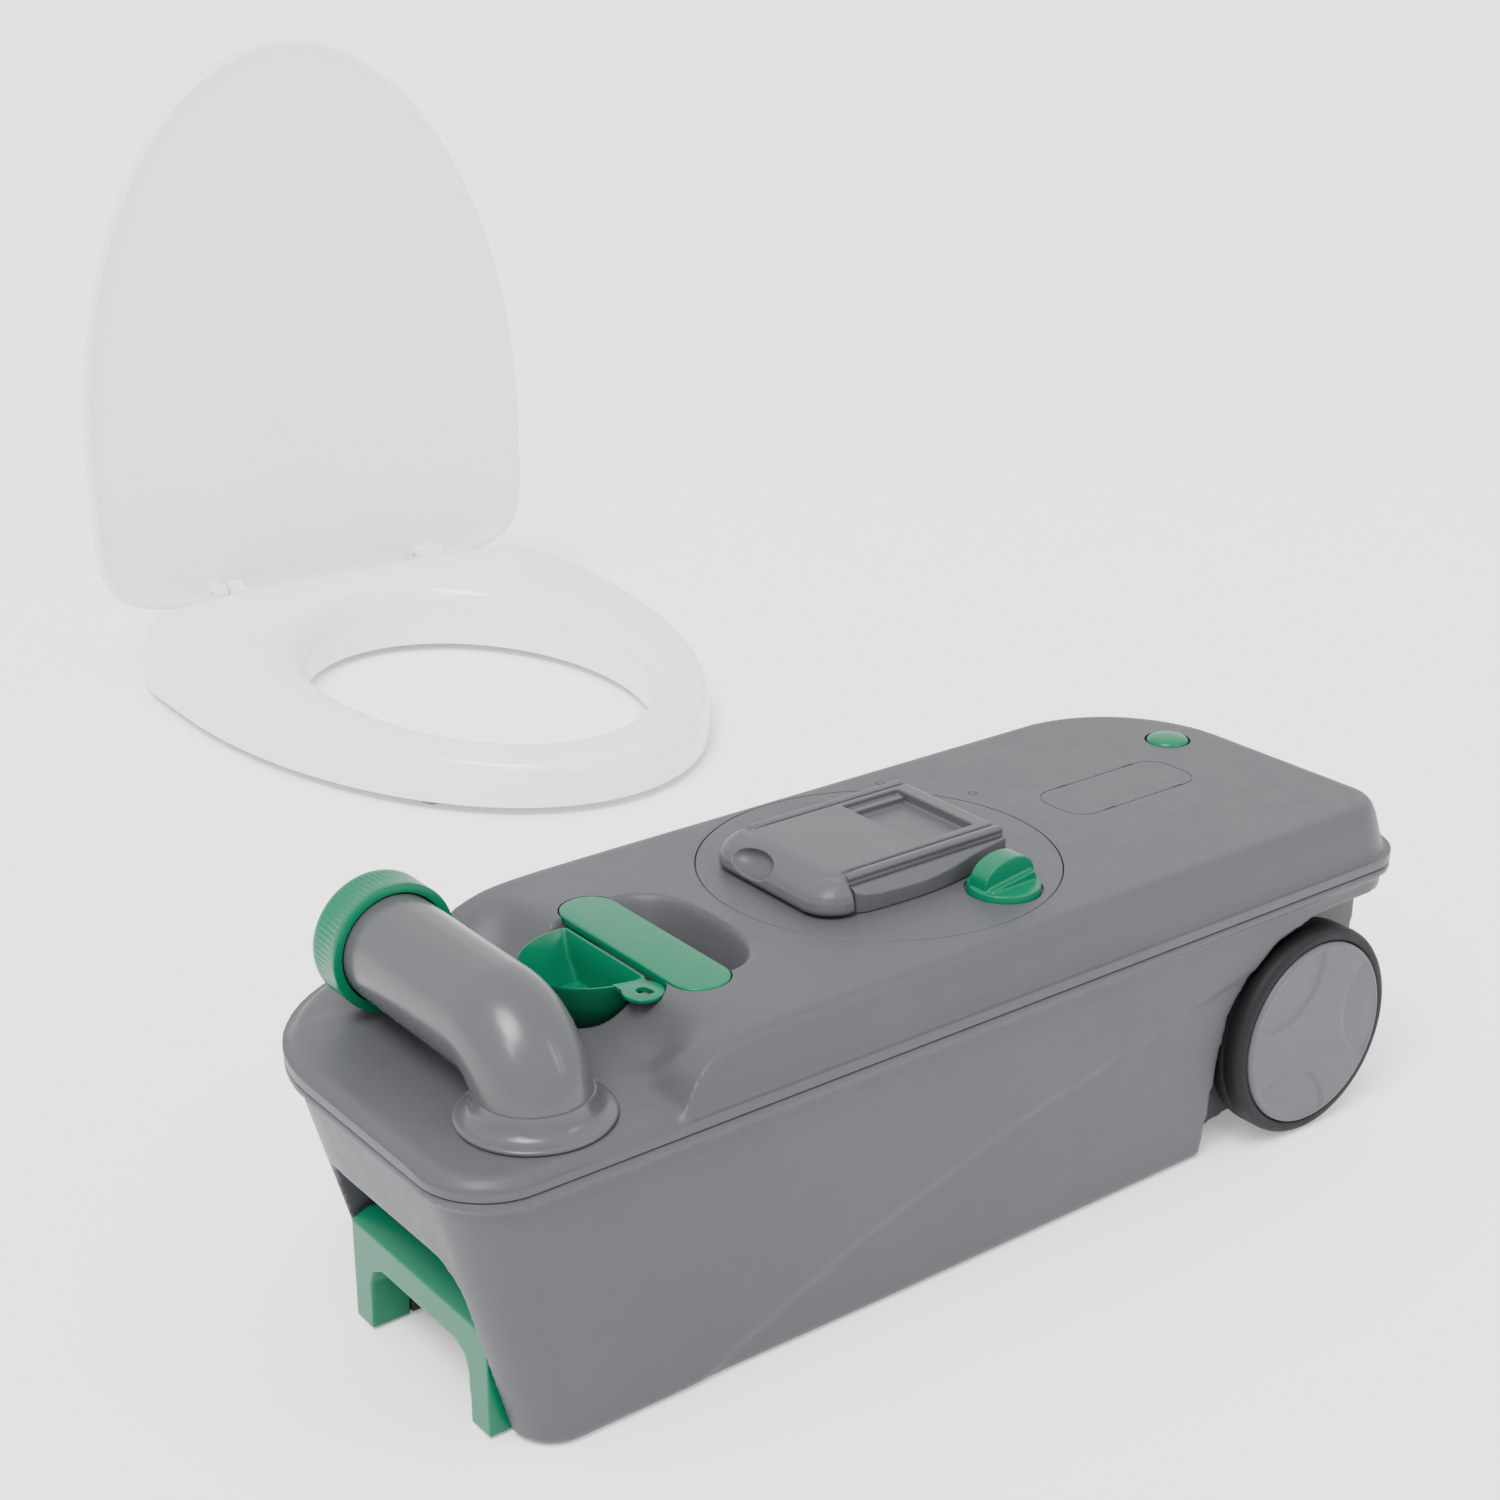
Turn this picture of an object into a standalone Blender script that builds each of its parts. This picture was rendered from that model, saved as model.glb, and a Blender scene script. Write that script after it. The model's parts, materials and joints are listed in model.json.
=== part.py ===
"""Cassette toilet kit: a wheeled waste-holding tank, and the seat with its lid that goes with it.

Frame: metres, +Z up, +X from the spout end to the wheels, +Y to the side that the stowed spout points to.
The origin is on the tank's flat bottom, below the middle of the mechanism disc.
"""
import math

import bmesh
import bpy
from mathutils import Matrix, Vector

MM = 0.001
GAP = 0.3 * MM                    # clearance between pieces that touch
WALL = 3 * MM                     # wall of the moulded shells

# ---- tank: overall sizes
RIM_FRONT, RIM_REAR = -341 * MM, 305 * MM
RIM_HALF = 122 * MM
RIM_TOP, RIM_SEAM, RIM_BOTTOM = 158.5 * MM, 153.5 * MM, 148.5 * MM
CORNER_RADII = (38 * MM, 35 * MM, 35 * MM, 100 * MM)      # near front, near rear, far rear, far front
BASE_FRONT_INSET, BASE_SIDE_INSET, BASE_REAR_INSET = 44 * MM, 15 * MM, 20 * MM
BODY_TOP_INSET = 4 * MM
FAR_DECK_RADIUS = 95 * MM         # the raised deck's far rear corner
DECK_Z = 189 * MM                 # main deck
FRONT_DECK_Z = 162 * MM           # low deck under the spout
STEP_TOP_X, STEP_FOOT_X = -182 * MM, -222 * MM

# ---- wheels
WHEEL_X, WHEEL_Z = 225 * MM, 64.2 * MM
TYRE_RADIUS, TYRE_BORE = 63.7 * MM, 56 * MM
WELL_Y = 88 * MM                  # inner wall of each wheel well
STUB_RADIUS = 5 * MM

# ---- mechanism in the deck
DISC_Y = 4 * MM
DISC_RADIUS, DISC_BOTTOM = 100.5 * MM, 184 * MM
SHELF_RADIUS = 95 * MM            # shelf in the deck that carries the disc
INLET_X, INLET_Y, INLET_RADIUS = 15 * MM, 11.5 * MM, 38 * MM
COVER_X0, COVER_NOSE_X, COVER_X1 = -77 * MM, -56 * MM, 57 * MM
COVER_Y, COVER_HALF, COVER_RUNNER_HALF = 8 * MM, 52 * MM, 44 * MM
COVER_BOTTOM, COVER_TOP = 191.4 * MM, 209 * MM
RAIL_TOP = 203 * MM
RAIL_X0, RAIL_X1 = -54 * MM, 55 * MM
KNOB_X, KNOB_Y, KNOB_RADIUS = 30 * MM, -64 * MM, 20.5 * MM
CRANK_RADIUS = 60 * MM
PIN_RADIUS = 3 * MM
BLADE_Z0, BLADE_Z1 = 172 * MM, 176 * MM
BLADE_HALF = 43 * MM
VENT_X, VENT_Y, VENT_RADIUS = 260 * MM, 36.5 * MM, 12.8 * MM

# ---- carry recess, grip and measuring cup
GRIP_X0, GRIP_X1, GRIP_HALF = -176 * MM, -144 * MM, 64.5 * MM
RECESS_X1, RECESS_HALF, RECESS_FLOOR = -112 * MM, 56 * MM, 150 * MM
CUP_X, CUP_Y, CUP_RADIUS, CUP_DEPTH = -178 * MM, 7 * MM, 37 * MM, 46 * MM
CUP_TOP, CUP_BOTTOM, CUP_WALL = 186 * MM, 154 * MM, 1.8 * MM
EAR_X, EAR_Y, EAR_RADIUS, EAR_THICK = -187.5 * MM, -40 * MM, 10.8 * MM, 2.2 * MM

# ---- spout
SPOUT_X, SPOUT_Y, SPOUT_Z = -273 * MM, -75 * MM, 198.5 * MM
SPOUT_RADIUS, SPOUT_BEND = 28.3 * MM, 34 * MM
SPOUT_END_Y = 66 * MM
CAP_RADIUS, CAP_Y0, CAP_Y1 = 34.3 * MM, 52 * MM, 75.5 * MM
NECK_RADIUS = 26.2 * MM        # the spout's narrower end, inside the cap

# ---- pull handle
HANDLE_Y, HANDLE_HALF, LEG_WIDTH = -15 * MM, 65 * MM, 17 * MM
HANDLE_FRONT, HANDLE_BACK = -308 * MM, -286 * MM
HANDLE_TOP, BAR_HEIGHT = 66 * MM, 25 * MM
NICHE_HALF, NICHE_X, NICHE_TOP = 67.5 * MM, -244 * MM, 102 * MM
ARM_OFFSET, ARM_HALF, ARM_Z0, ARM_Z1 = 52 * MM, 5 * MM, 3 * MM, 11 * MM
ARM_END, CHANNEL_END = 96 * MM, 110 * MM

# ---- seat, in its own frame: nose towards -Y, hinge towards +Y
SEAT_PLACE, SEAT_TURN = (200 * MM, 780 * MM, 0), math.radians(-1.9)
SEAT_HALF_WIDTH, SEAT_HALF_LENGTH = 209 * MM, 250 * MM
SEAT_WIDEST = 0.28                # widest place, as a share of the length from the back
SEAT_BOTTOM, SEAT_BACK_TOP, SEAT_NOSE_TOP = 7 * MM, 68 * MM, 42 * MM
OPENING_HALF_WIDTH, OPENING_HALF_LENGTH, OPENING_SHIFT = 133 * MM, 188 * MM, -10 * MM
HINGE_Y, HINGE_Z, HINGE_X = 261 * MM, 60 * MM, 95 * MM
LID_OPEN = math.radians(91)
LID_THICK = 9 * MM
LID_HALF_WIDTH, LID_HALF_LENGTH, LID_STANDOFF = 214 * MM, 245 * MM, 10 * MM

GREY = (0.22, 0.225, 0.235)
DARK_GREY = (0.12, 0.125, 0.13)
GREEN = (0.01, 0.36, 0.17)
WHITE = (0.88, 0.88, 0.86)
BLACK = (0.015, 0.015, 0.016)
STEEL = (0.55, 0.55, 0.56)
PALE = (0.6, 0.6, 0.58)


# ------------------------------------------------------------------ scene and object helpers
def clear_scene():
    for item in list(bpy.data.objects):
        bpy.data.objects.remove(item, do_unlink=True)


def collection(name):
    made = bpy.data.collections.new(name)
    bpy.context.scene.collection.children.link(made)
    return made


def material(name, colour, roughness, metallic=0.0):
    made = bpy.data.materials.new(name)
    made.use_nodes = True
    shader = made.node_tree.nodes["Principled BSDF"]
    shader.inputs["Base Color"].default_value = (*colour, 1.0)
    shader.inputs["Roughness"].default_value = roughness
    shader.inputs["Metallic"].default_value = metallic
    return made


def smooth(mesh, degrees=35):
    mesh.shade_smooth()
    mesh.set_sharp_from_angle(angle=math.radians(degrees))


def add(name, mesh, look=None, place=(0, 0, 0), parent=None):
    """Puts a mesh, whose points are in world metres, in an object with its origin at place."""
    mesh.transform(Matrix.Translation(-Vector(place)))
    made = bpy.data.objects.new(name, mesh)
    made.location = place
    if look is None:
        CUTTERS.objects.link(made)
        made.hide_render = True
        made.display_type = "WIRE"
    else:
        PARTS.objects.link(made)
        smooth(mesh)
        mesh.materials.append(look)
    if parent is not None:
        made.parent = parent
        made.location = Vector(place) - parent.location
    return made


def boolean(target, tool, operation):
    modifier = target.modifiers.new(operation.title() + "_" + tool.name, "BOOLEAN")
    modifier.operation = operation
    modifier.object = tool
    modifier.solver = "EXACT"


def cut(target, *tools):
    for tool in tools:
        boolean(target, tool, "DIFFERENCE")


def join(target, *tools):
    for tool in tools:
        boolean(target, tool, "UNION")


# ------------------------------------------------------------------ shape helpers
def finish(shape, name):
    bmesh.ops.recalc_face_normals(shape, faces=shape.faces)
    mesh = bpy.data.meshes.new(name)
    shape.to_mesh(mesh)
    shape.free()
    return mesh


def box(name, low, high):
    shape = bmesh.new()
    bmesh.ops.create_cube(shape, size=1.0)
    size = Vector(high) - Vector(low)
    middle = (Vector(high) + Vector(low)) / 2
    bmesh.ops.scale(shape, vec=size, verts=shape.verts)
    bmesh.ops.translate(shape, vec=middle, verts=shape.verts)
    return finish(shape, name)


def cylinder(name, radius, start, end, segments=32, end_radius=None):
    """A round bar or cone from the point start to the point end."""
    axis = Vector(end) - Vector(start)
    shape = bmesh.new()
    other = radius if end_radius is None else end_radius
    bmesh.ops.create_cone(shape, cap_ends=True, segments=segments, radius1=radius, radius2=other,
                          depth=axis.length)
    turn = axis.to_track_quat("Z", "Y").to_matrix().to_4x4()
    place = Matrix.Translation((Vector(start) + Vector(end)) / 2) @ turn
    bmesh.ops.transform(shape, matrix=place, verts=shape.verts)
    return finish(shape, name)


def ring(name, inner, outer, start, end, segments=48):
    """A flat-sided tube from the point start to the point end, as a turned profile."""
    depth = (Vector(end) - Vector(start)).length
    profile = [(inner, depth), (outer, depth), (outer, 0), (inner, 0)]
    return turned(name, profile, start, end, segments, closed=True)


def turned(name, profile, start, axis_end, segments=48, closed=False):
    """Turns (radius, height) points about the line from start towards axis_end with a Screw modifier."""
    mesh = bpy.data.meshes.new(name)
    edges = [(i, i + 1) for i in range(len(profile) - 1)]
    if closed:
        edges.append((len(profile) - 1, 0))
    mesh.from_pydata([(r, 0, z) for r, z in profile], edges, [])
    holder = bpy.data.objects.new(name + "_profile", mesh)
    CUTTERS.objects.link(holder)
    screw = holder.modifiers.new("Turn", "SCREW")
    screw.steps = segments
    screw.render_steps = segments
    screw.use_merge_vertices = True
    screw.merge_threshold = 0.00001
    bpy.context.view_layer.update()
    result = bpy.data.meshes.new_from_object(holder.evaluated_get(bpy.context.evaluated_depsgraph_get()))
    bpy.data.objects.remove(holder, do_unlink=True)
    shape = bmesh.new()
    shape.from_mesh(result)
    bmesh.ops.remove_doubles(shape, verts=shape.verts, dist=0.00001)
    axis = Vector(axis_end) - Vector(start)
    place = Matrix.Translation(start) @ axis.to_track_quat("Z", "Y").to_matrix().to_4x4()
    bmesh.ops.transform(shape, matrix=place, verts=shape.verts)
    return finish(shape, name)


def extruded(name, outline, offset, plane="XY"):
    """Extrudes an outline of 2D points between the two levels in offset, along the plane's normal."""
    low, high = offset
    lift = {"XY": lambda p, d: (p[0], p[1], d), "XZ": lambda p, d: (p[0], d, p[1]),
            "YZ": lambda p, d: (d, p[0], p[1])}[plane]
    shape = bmesh.new()
    face = shape.faces.new([shape.verts.new(lift(p, low)) for p in outline])
    grown = bmesh.ops.extrude_face_region(shape, geom=[face])
    moved = [item for item in grown["geom"] if isinstance(item, bmesh.types.BMVert)]
    travel = Vector(lift((0, 0), high)) - Vector(lift((0, 0), low))
    bmesh.ops.translate(shape, vec=travel, verts=moved)
    return finish(shape, name)


def loft(name, sections, closed=False):
    """Joins sections of equal point count with quads, and caps the ends unless the stack is closed."""
    shape = bmesh.new()
    rows = [[shape.verts.new(point) for point in section] for section in sections]
    count = len(rows[0])
    pairs = list(zip(rows, rows[1:]))
    if closed:
        pairs.append((rows[-1], rows[0]))
    for low, high in pairs:
        for i in range(count):
            j = (i + 1) % count
            shape.faces.new((low[i], low[j], high[j], high[i]))
    if not closed:
        shape.faces.new(rows[0][::-1])
        shape.faces.new(rows[-1])
    return finish(shape, name)


def rounded(x0, x1, y0, y1, radii, steps=5):
    """A rectangle with rounded corners: low-x low-y, high-x low-y, high-x high-y, low-x high-y."""
    corners = ((x0, y0, 180), (x1, y0, 270), (x1, y1, 0), (x0, y1, 90))
    signs = ((1, 1), (-1, 1), (-1, -1), (1, -1))
    points = []
    for (x, y, start), (sx, sy), radius in zip(corners, signs, radii):
        for k in range(steps + 1):
            angle = math.radians(start + 90 * k / steps)
            points.append((x + sx * radius + radius * math.cos(angle),
                    y + sy * radius + radius * math.sin(angle)))
    return points


def tank_section(z, front_inset, side_inset, rear_inset, front=None, steps=5):
    """One level of the tank: the rim outline moved in, its corner radii shrunk to suit."""
    x0 = (RIM_FRONT if front is None else front) + front_inset
    radii = [max(radius - side_inset, 8 * MM) for radius in CORNER_RADII]
    if front is not None:
        radii[0] = radii[3] = 30 * MM
        radii[2] = FAR_DECK_RADIUS - side_inset
    outline = rounded(x0, RIM_REAR - rear_inset, -RIM_HALF + side_inset, RIM_HALF - side_inset, radii, steps)
    return [(x, y, z) for x, y in outline]


def tube(name, points, radius, filled=True, resolution=4):
    """A round tube along a list of points, as a curve with a bevel."""
    curve = bpy.data.curves.new(name, "CURVE")
    curve.dimensions = "3D"
    curve.bevel_depth = radius
    curve.bevel_resolution = resolution
    curve.use_fill_caps = filled
    spline = curve.splines.new("POLY")
    spline.points.add(len(points) - 1)
    for target, point in zip(spline.points, points):
        target.co = (*point, 1.0)
    holder = bpy.data.objects.new(name + "_path", curve)
    CUTTERS.objects.link(holder)
    bpy.context.view_layer.update()
    result = bpy.data.meshes.new_from_object(holder.evaluated_get(bpy.context.evaluated_depsgraph_get()))
    bpy.data.objects.remove(holder, do_unlink=True)
    shape = bmesh.new()
    shape.from_mesh(result)
    bmesh.ops.remove_doubles(shape, verts=shape.verts, dist=0.00001)
    return finish(shape, name)


# ------------------------------------------------------------------ tank shells
def body_sections(shrink):
    """The drafted lower body, made smaller all round by shrink."""
    levels = []
    for share, z in ((0.0, shrink), (0.03, 4 * MM + shrink), (1.0, RIM_BOTTOM)):
        round_off = 3 * MM if share == 0.0 else 0.0
        front = BASE_FRONT_INSET + (BODY_TOP_INSET - BASE_FRONT_INSET) * share
        side = BASE_SIDE_INSET + (BODY_TOP_INSET - BASE_SIDE_INSET) * share
        rear = BASE_REAR_INSET + (BODY_TOP_INSET - BASE_REAR_INSET) * share
        extra = shrink + round_off
        levels.append(tank_section(z, front + extra, side + extra, rear + extra))
    return levels


def wheel_well(name, side, grow):
    """The space for one wheel, cut from the side and open below and behind."""
    outline = [(148, -30), (154, 30), (157, 64), (161.5, 90), (174.5, 111), (195, 127), (222, 135),
            (250, 137), (345, 137), (345, -30)]
    points = [(x * MM - (grow if x < 300 else 0), z * MM + (grow if z > 0 else 0)) for x, z in outline]
    inner = side * (WELL_Y - grow)
    outer = side * (RIM_HALF + 20 * MM)
    return add(name, extruded(name, points, (min(inner, outer), max(inner, outer)), "XZ"))


def rear_ramp(name, grow):
    outline = [(150 * MM - grow, -5 * MM), (320 * MM, -5 * MM), (320 * MM, 28 * MM + grow),
            (150 * MM - grow, grow)]
    return add(name, extruded(name, outline, (-WELL_Y - 5 * MM, WELL_Y + 5 * MM), "XZ"))


def handle_niche(name, grow):
    """The recess in the front wall that the pull handle stows in."""
    half, top = NICHE_HALF + grow, NICHE_TOP + grow
    outline = rounded(HANDLE_Y - half, HANDLE_Y + half, -60 * MM, top, (5 * MM, 5 * MM, 34 * MM, 34 * MM), 5)
    return add(name, extruded(name, outline, (RIM_FRONT - 20 * MM, NICHE_X + grow), "YZ"))


def arm_channel(name, side, grow):
    middle = HANDLE_Y + side * ARM_OFFSET
    half = 7.5 * MM + grow
    return add(name, box(name, (NICHE_X - 10 * MM, middle - half, -5 * MM),
                         (CHANNEL_END + grow, middle + half, 13 * MM + grow)))


def strap_seat(name, x, grow):
    """A shallow slot across the bottom for one handle guide."""
    half = 10 * MM + grow
    return add(name, box(name, (x - half, HANDLE_Y - 70 * MM - grow, -5 * MM),
                         (x + half, HANDLE_Y + 70 * MM + grow, 2.4 * MM + grow)))


def lower_shell():
    shell = add("tank_lower_shell", loft("tank_lower_shell", body_sections(0.0)), LOOK["grey"])
    flange = add("lower_flange", loft("lower_flange", [tank_section(RIM_BOTTOM - 1 * MM, 0, 0, 0),
                                                       tank_section(RIM_SEAM - GAP / 2, 0, 0, 0)]))
    cavity = add("lower_cavity", loft("lower_cavity", body_sections(WALL)))
    opening = add("lower_opening", loft("lower_opening", [
        tank_section(RIM_BOTTOM - 5 * MM, *[BODY_TOP_INSET + WALL] * 3),
        tank_section(RIM_SEAM + 5 * MM, *[BODY_TOP_INSET + WALL] * 3)]))
    boss = {}
    for side, word in ((-1, "near"), (1, "far")):
        cut(cavity, wheel_well("well_skin_" + word, side, WALL))
        cut(cavity, arm_channel("channel_skin_" + word, side, WALL))
        cut(shell, wheel_well("well_" + word, side, 0.0))
        boss[word] = add("stub_boss_" + word, cylinder("stub_boss_" + word, 12 * MM,
                (WHEEL_X, side * (WELL_Y - 12 * MM), WHEEL_Z),
                                                       (WHEEL_X, side * (WELL_Y + 6 * MM), WHEEL_Z), 24))
        cut(cavity, boss[word])
    cut(cavity, rear_ramp("ramp_skin", WALL), handle_niche("niche_skin", WALL))
    for x, word in ((-225 * MM, "front"), (60 * MM, "rear")):
        cut(cavity, strap_seat("strap_skin_" + word, x, WALL))
    join(shell, flange)
    cut(shell, rear_ramp("ramp", 0.0), handle_niche("niche", 0.0))
    cut(shell, cavity, opening)
    for side, word in ((-1, "near"), (1, "far")):
        join(shell, boss[word])
        hole = cylinder("stub_hole_" + word, STUB_RADIUS + GAP, (WHEEL_X, side * (WELL_Y - 8 * MM), WHEEL_Z),
                        (WHEEL_X, side * (WELL_Y + 20 * MM), WHEEL_Z), 24)
        cut(shell, add("stub_hole_" + word, hole), arm_channel("channel_" + word, side, 0.0))
    for x, word in ((-225 * MM, "front"), (60 * MM, "rear")):
        cut(shell, strap_seat("strap_slot_" + word, x, 0.0))


def deck_solid(name, shrink):
    """The raised main deck, made smaller all round by shrink."""
    levels = []
    for z, front, inset in ((RIM_TOP - 2 * MM, STEP_FOOT_X, 2.5 * MM),
            (RIM_TOP + 1 * MM, STEP_FOOT_X + 1 * MM, 3 * MM),
                            (177 * MM, STEP_FOOT_X + 14 * MM, 8 * MM),
                            (DECK_Z - 3.5 * MM, STEP_TOP_X - 8 * MM, 11.5 * MM),
                            (DECK_Z, STEP_TOP_X, 14.5 * MM)):
        top = shrink if z == DECK_Z else 0.0
        levels.append(tank_section(z - top, shrink, inset + shrink, inset + shrink + 2 * MM, front=front))
    if shrink:
        levels[0] = [(x, y, z - 10 * MM) for x, y, z in levels[0]]
    return add(name, loft(name, levels))


def front_deck_solid(name, shrink):
    """The low deck: the whole plan, from the rim up to the spout's level."""
    levels = []
    for z, inset in ((RIM_TOP - 2 * MM, 2.5 * MM), (RIM_TOP + 1 * MM, 3 * MM), (FRONT_DECK_Z, 8 * MM)):
        top = shrink if z == FRONT_DECK_Z else 0.0
        levels.append(tank_section(z - top, inset + shrink, inset + shrink, inset + shrink))
    if shrink:
        levels[0] = [(x, y, z - 10 * MM) for x, y, z in levels[0]]
    return add(name, loft(name, levels))


def hand_recess(name, grow):
    """The oval well behind the grip, and the half-round well in front of it that the cup hangs in."""
    half = RECESS_HALF + grow
    radii = (4 * MM, 38 * MM, 38 * MM, 4 * MM)
    oval = rounded(GRIP_X0 - 4 * MM, RECESS_X1 + grow, -half, half, radii)
    well = add(name, extruded(name, oval, (RECESS_FLOOR - grow, DECK_Z + 10 * MM)))
    deep, wide = CUP_DEPTH + 4.5 * MM + grow, CUP_RADIUS + 6 * MM + grow
    angles = [2 * math.pi * k / 40 for k in range(40)]
    bowl = [(CUP_X + deep * math.cos(a), CUP_Y + wide * math.sin(a)) for a in angles]
    join(well, add(name + "_cup", extruded(name + "_cup", bowl, (RECESS_FLOOR - grow, DECK_Z + 10 * MM))))
    return well


def upper_shell():
    shell = add("tank_upper_shell", loft("tank_upper_shell", [tank_section(RIM_SEAM + GAP / 2, 0, 0, 0),
                                                              tank_section(RIM_TOP - 1 * MM, 0, 0, 0),
                                                              tank_section(RIM_TOP, 1 * MM, 1 * MM,
                                                              1 * MM)]), LOOK["grey"])
    join(shell, deck_solid("deck_outer", 0.0), front_deck_solid("front_deck_outer", 0.0))
    inner = deck_solid("deck_inner", WALL)
    join(inner, front_deck_solid("front_deck_inner", WALL))
    skin = hand_recess("recess_skin", WALL)
    under_rim = add("recess_keep", box("recess_keep", (-300 * MM, -90 * MM, RECESS_FLOOR - WALL),
                                       (-100 * MM, 90 * MM, DECK_Z - 1 * MM)))
    boolean(skin, under_rim, "INTERSECT")
    shelf = cylinder("disc_shelf", DISC_RADIUS + 3 * MM, (0, DISC_Y, 178 * MM), (0, DISC_Y, DECK_Z - 1 * MM),
            64)
    cut(shell, inner)
    join(shell, skin, add("disc_shelf", shelf))
    cut(shell, hand_recess("recess", 0.0))
    pocket = cylinder("disc_pocket", DISC_RADIUS + 0.5 * MM, (0, DISC_Y, DISC_BOTTOM - GAP),
            (0, DISC_Y, DECK_Z + 5 * MM), 64)
    through = cylinder("disc_through", SHELF_RADIUS, (0, DISC_Y, 150 * MM), (0, DISC_Y, DECK_Z + 5 * MM), 64)
    cut(shell, add("disc_pocket", pocket), add("disc_through", through))
    grip_seat = rounded(GRIP_X0 - 0.5 * MM, GRIP_X1 + 0.5 * MM, -GRIP_HALF - 0.5 * MM, GRIP_HALF + 0.5 * MM,
            [15 * MM] * 4)
    cut(shell, add("grip_seat", extruded("grip_seat", grip_seat,
            (DECK_Z - 4.5 * MM - GAP, DECK_Z + 10 * MM))))
    join_pad_under_grip(shell)
    ear_seat = cylinder("ear_seat", EAR_RADIUS + 0.6 * MM, (EAR_X, EAR_Y, CUP_TOP - EAR_THICK - GAP),
            (EAR_X, EAR_Y, DECK_Z + 9 * MM), 28)
    cut(shell, add("ear_seat", ear_seat))
    spout_hole = cylinder("spout_hole", 27 * MM, (SPOUT_X, SPOUT_Y, 140 * MM), (SPOUT_X, SPOUT_Y, 175 * MM),
            48)
    vent_hole = cylinder("vent_hole", VENT_RADIUS + 1.6 * MM, (VENT_X, VENT_Y, 170 * MM),
            (VENT_X, VENT_Y, 200 * MM), 32)
    cut(shell, add("spout_hole", spout_hole), add("vent_hole", vent_hole))


def join_pad_under_grip(shell):
    """Two ledges that carry the ends of the grip."""
    for side, word in ((-1, "near"), (1, "far")):
        low, high = sorted((side * (RECESS_HALF - 2 * MM), side * (GRIP_HALF + 6 * MM)))
        ledge = box("grip_ledge_" + word, (GRIP_X0 - 1 * MM, low, DECK_Z - 9 * MM),
                    (GRIP_X1 + 4 * MM, high, DECK_Z - 4.5 * MM - GAP))
        join(shell, add("grip_ledge_" + word, ledge))


# ------------------------------------------------------------------ grip and cup
def carry_grip():
    outline = rounded(GRIP_X0, GRIP_X1, -GRIP_HALF, GRIP_HALF, [14.5 * MM] * 4, 8)
    plate = add("carry_grip", extruded("carry_grip", outline, (DECK_Z - 4.5 * MM, DECK_Z + GAP)),
            LOOK["green"])
    rib = box("grip_rib", (GRIP_X0 + 11 * MM, -RECESS_HALF + 2 * MM, DECK_Z - 10 * MM),
              (GRIP_X1 - 11 * MM, RECESS_HALF - 2 * MM, DECK_Z - 4 * MM))
    join(plate, add("grip_rib", rib))


def cup_section(z, radius, back):
    """Half-round bowl outline with its flat side at back, at one level."""
    angles = [math.radians(180 * k / 14) for k in range(15)]
    deep = radius * CUP_DEPTH / CUP_RADIUS
    return [(back - deep * math.sin(a), CUP_Y + radius * math.cos(a), z) for a in angles]


def measuring_cup():
    inner_back = CUP_X - CUP_WALL
    outer = [cup_section(CUP_BOTTOM, 24 * MM, CUP_X), cup_section(CUP_BOTTOM + 6 * MM, 29 * MM, CUP_X),
             cup_section(CUP_TOP, CUP_RADIUS, CUP_X)]
    inner = [cup_section(CUP_BOTTOM + CUP_WALL, 21 * MM, inner_back),
            cup_section(CUP_BOTTOM + 7 * MM, 26 * MM, inner_back),
             cup_section(CUP_TOP + 1 * MM, CUP_RADIUS - 2.8 * MM, inner_back)]
    cup = add("measuring_cup", loft("measuring_cup", outer), LOOK["green"])
    cut(cup, add("cup_inside", loft("cup_inside", inner)))
    low = CUP_TOP - EAR_THICK
    ear = add("cup_ear", cylinder("cup_ear", EAR_RADIUS, (EAR_X, EAR_Y, low), (EAR_X, EAR_Y, CUP_TOP), 28))
    trim = cylinder("cup_ear_trim", CUP_RADIUS - CUP_WALL / 2, (CUP_X, CUP_Y, low - 9 * MM),
            (CUP_X, CUP_Y, CUP_TOP + 9 * MM), 30)
    neck = box("cup_ear_neck", (EAR_X - 8.5 * MM, EAR_Y + 5 * MM, low),
            (EAR_X + 7.5 * MM, EAR_Y + 16 * MM, CUP_TOP))
    join(ear, add("cup_ear_neck", neck))
    cut(ear, add("cup_ear_trim", trim))
    slot = cylinder("cup_slot", 3.2 * MM, (EAR_X, EAR_Y, low - 5 * MM), (EAR_X, EAR_Y, CUP_TOP + 5 * MM), 16)
    join(cup, ear)
    cut(cup, add("cup_slot", slot))


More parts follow.
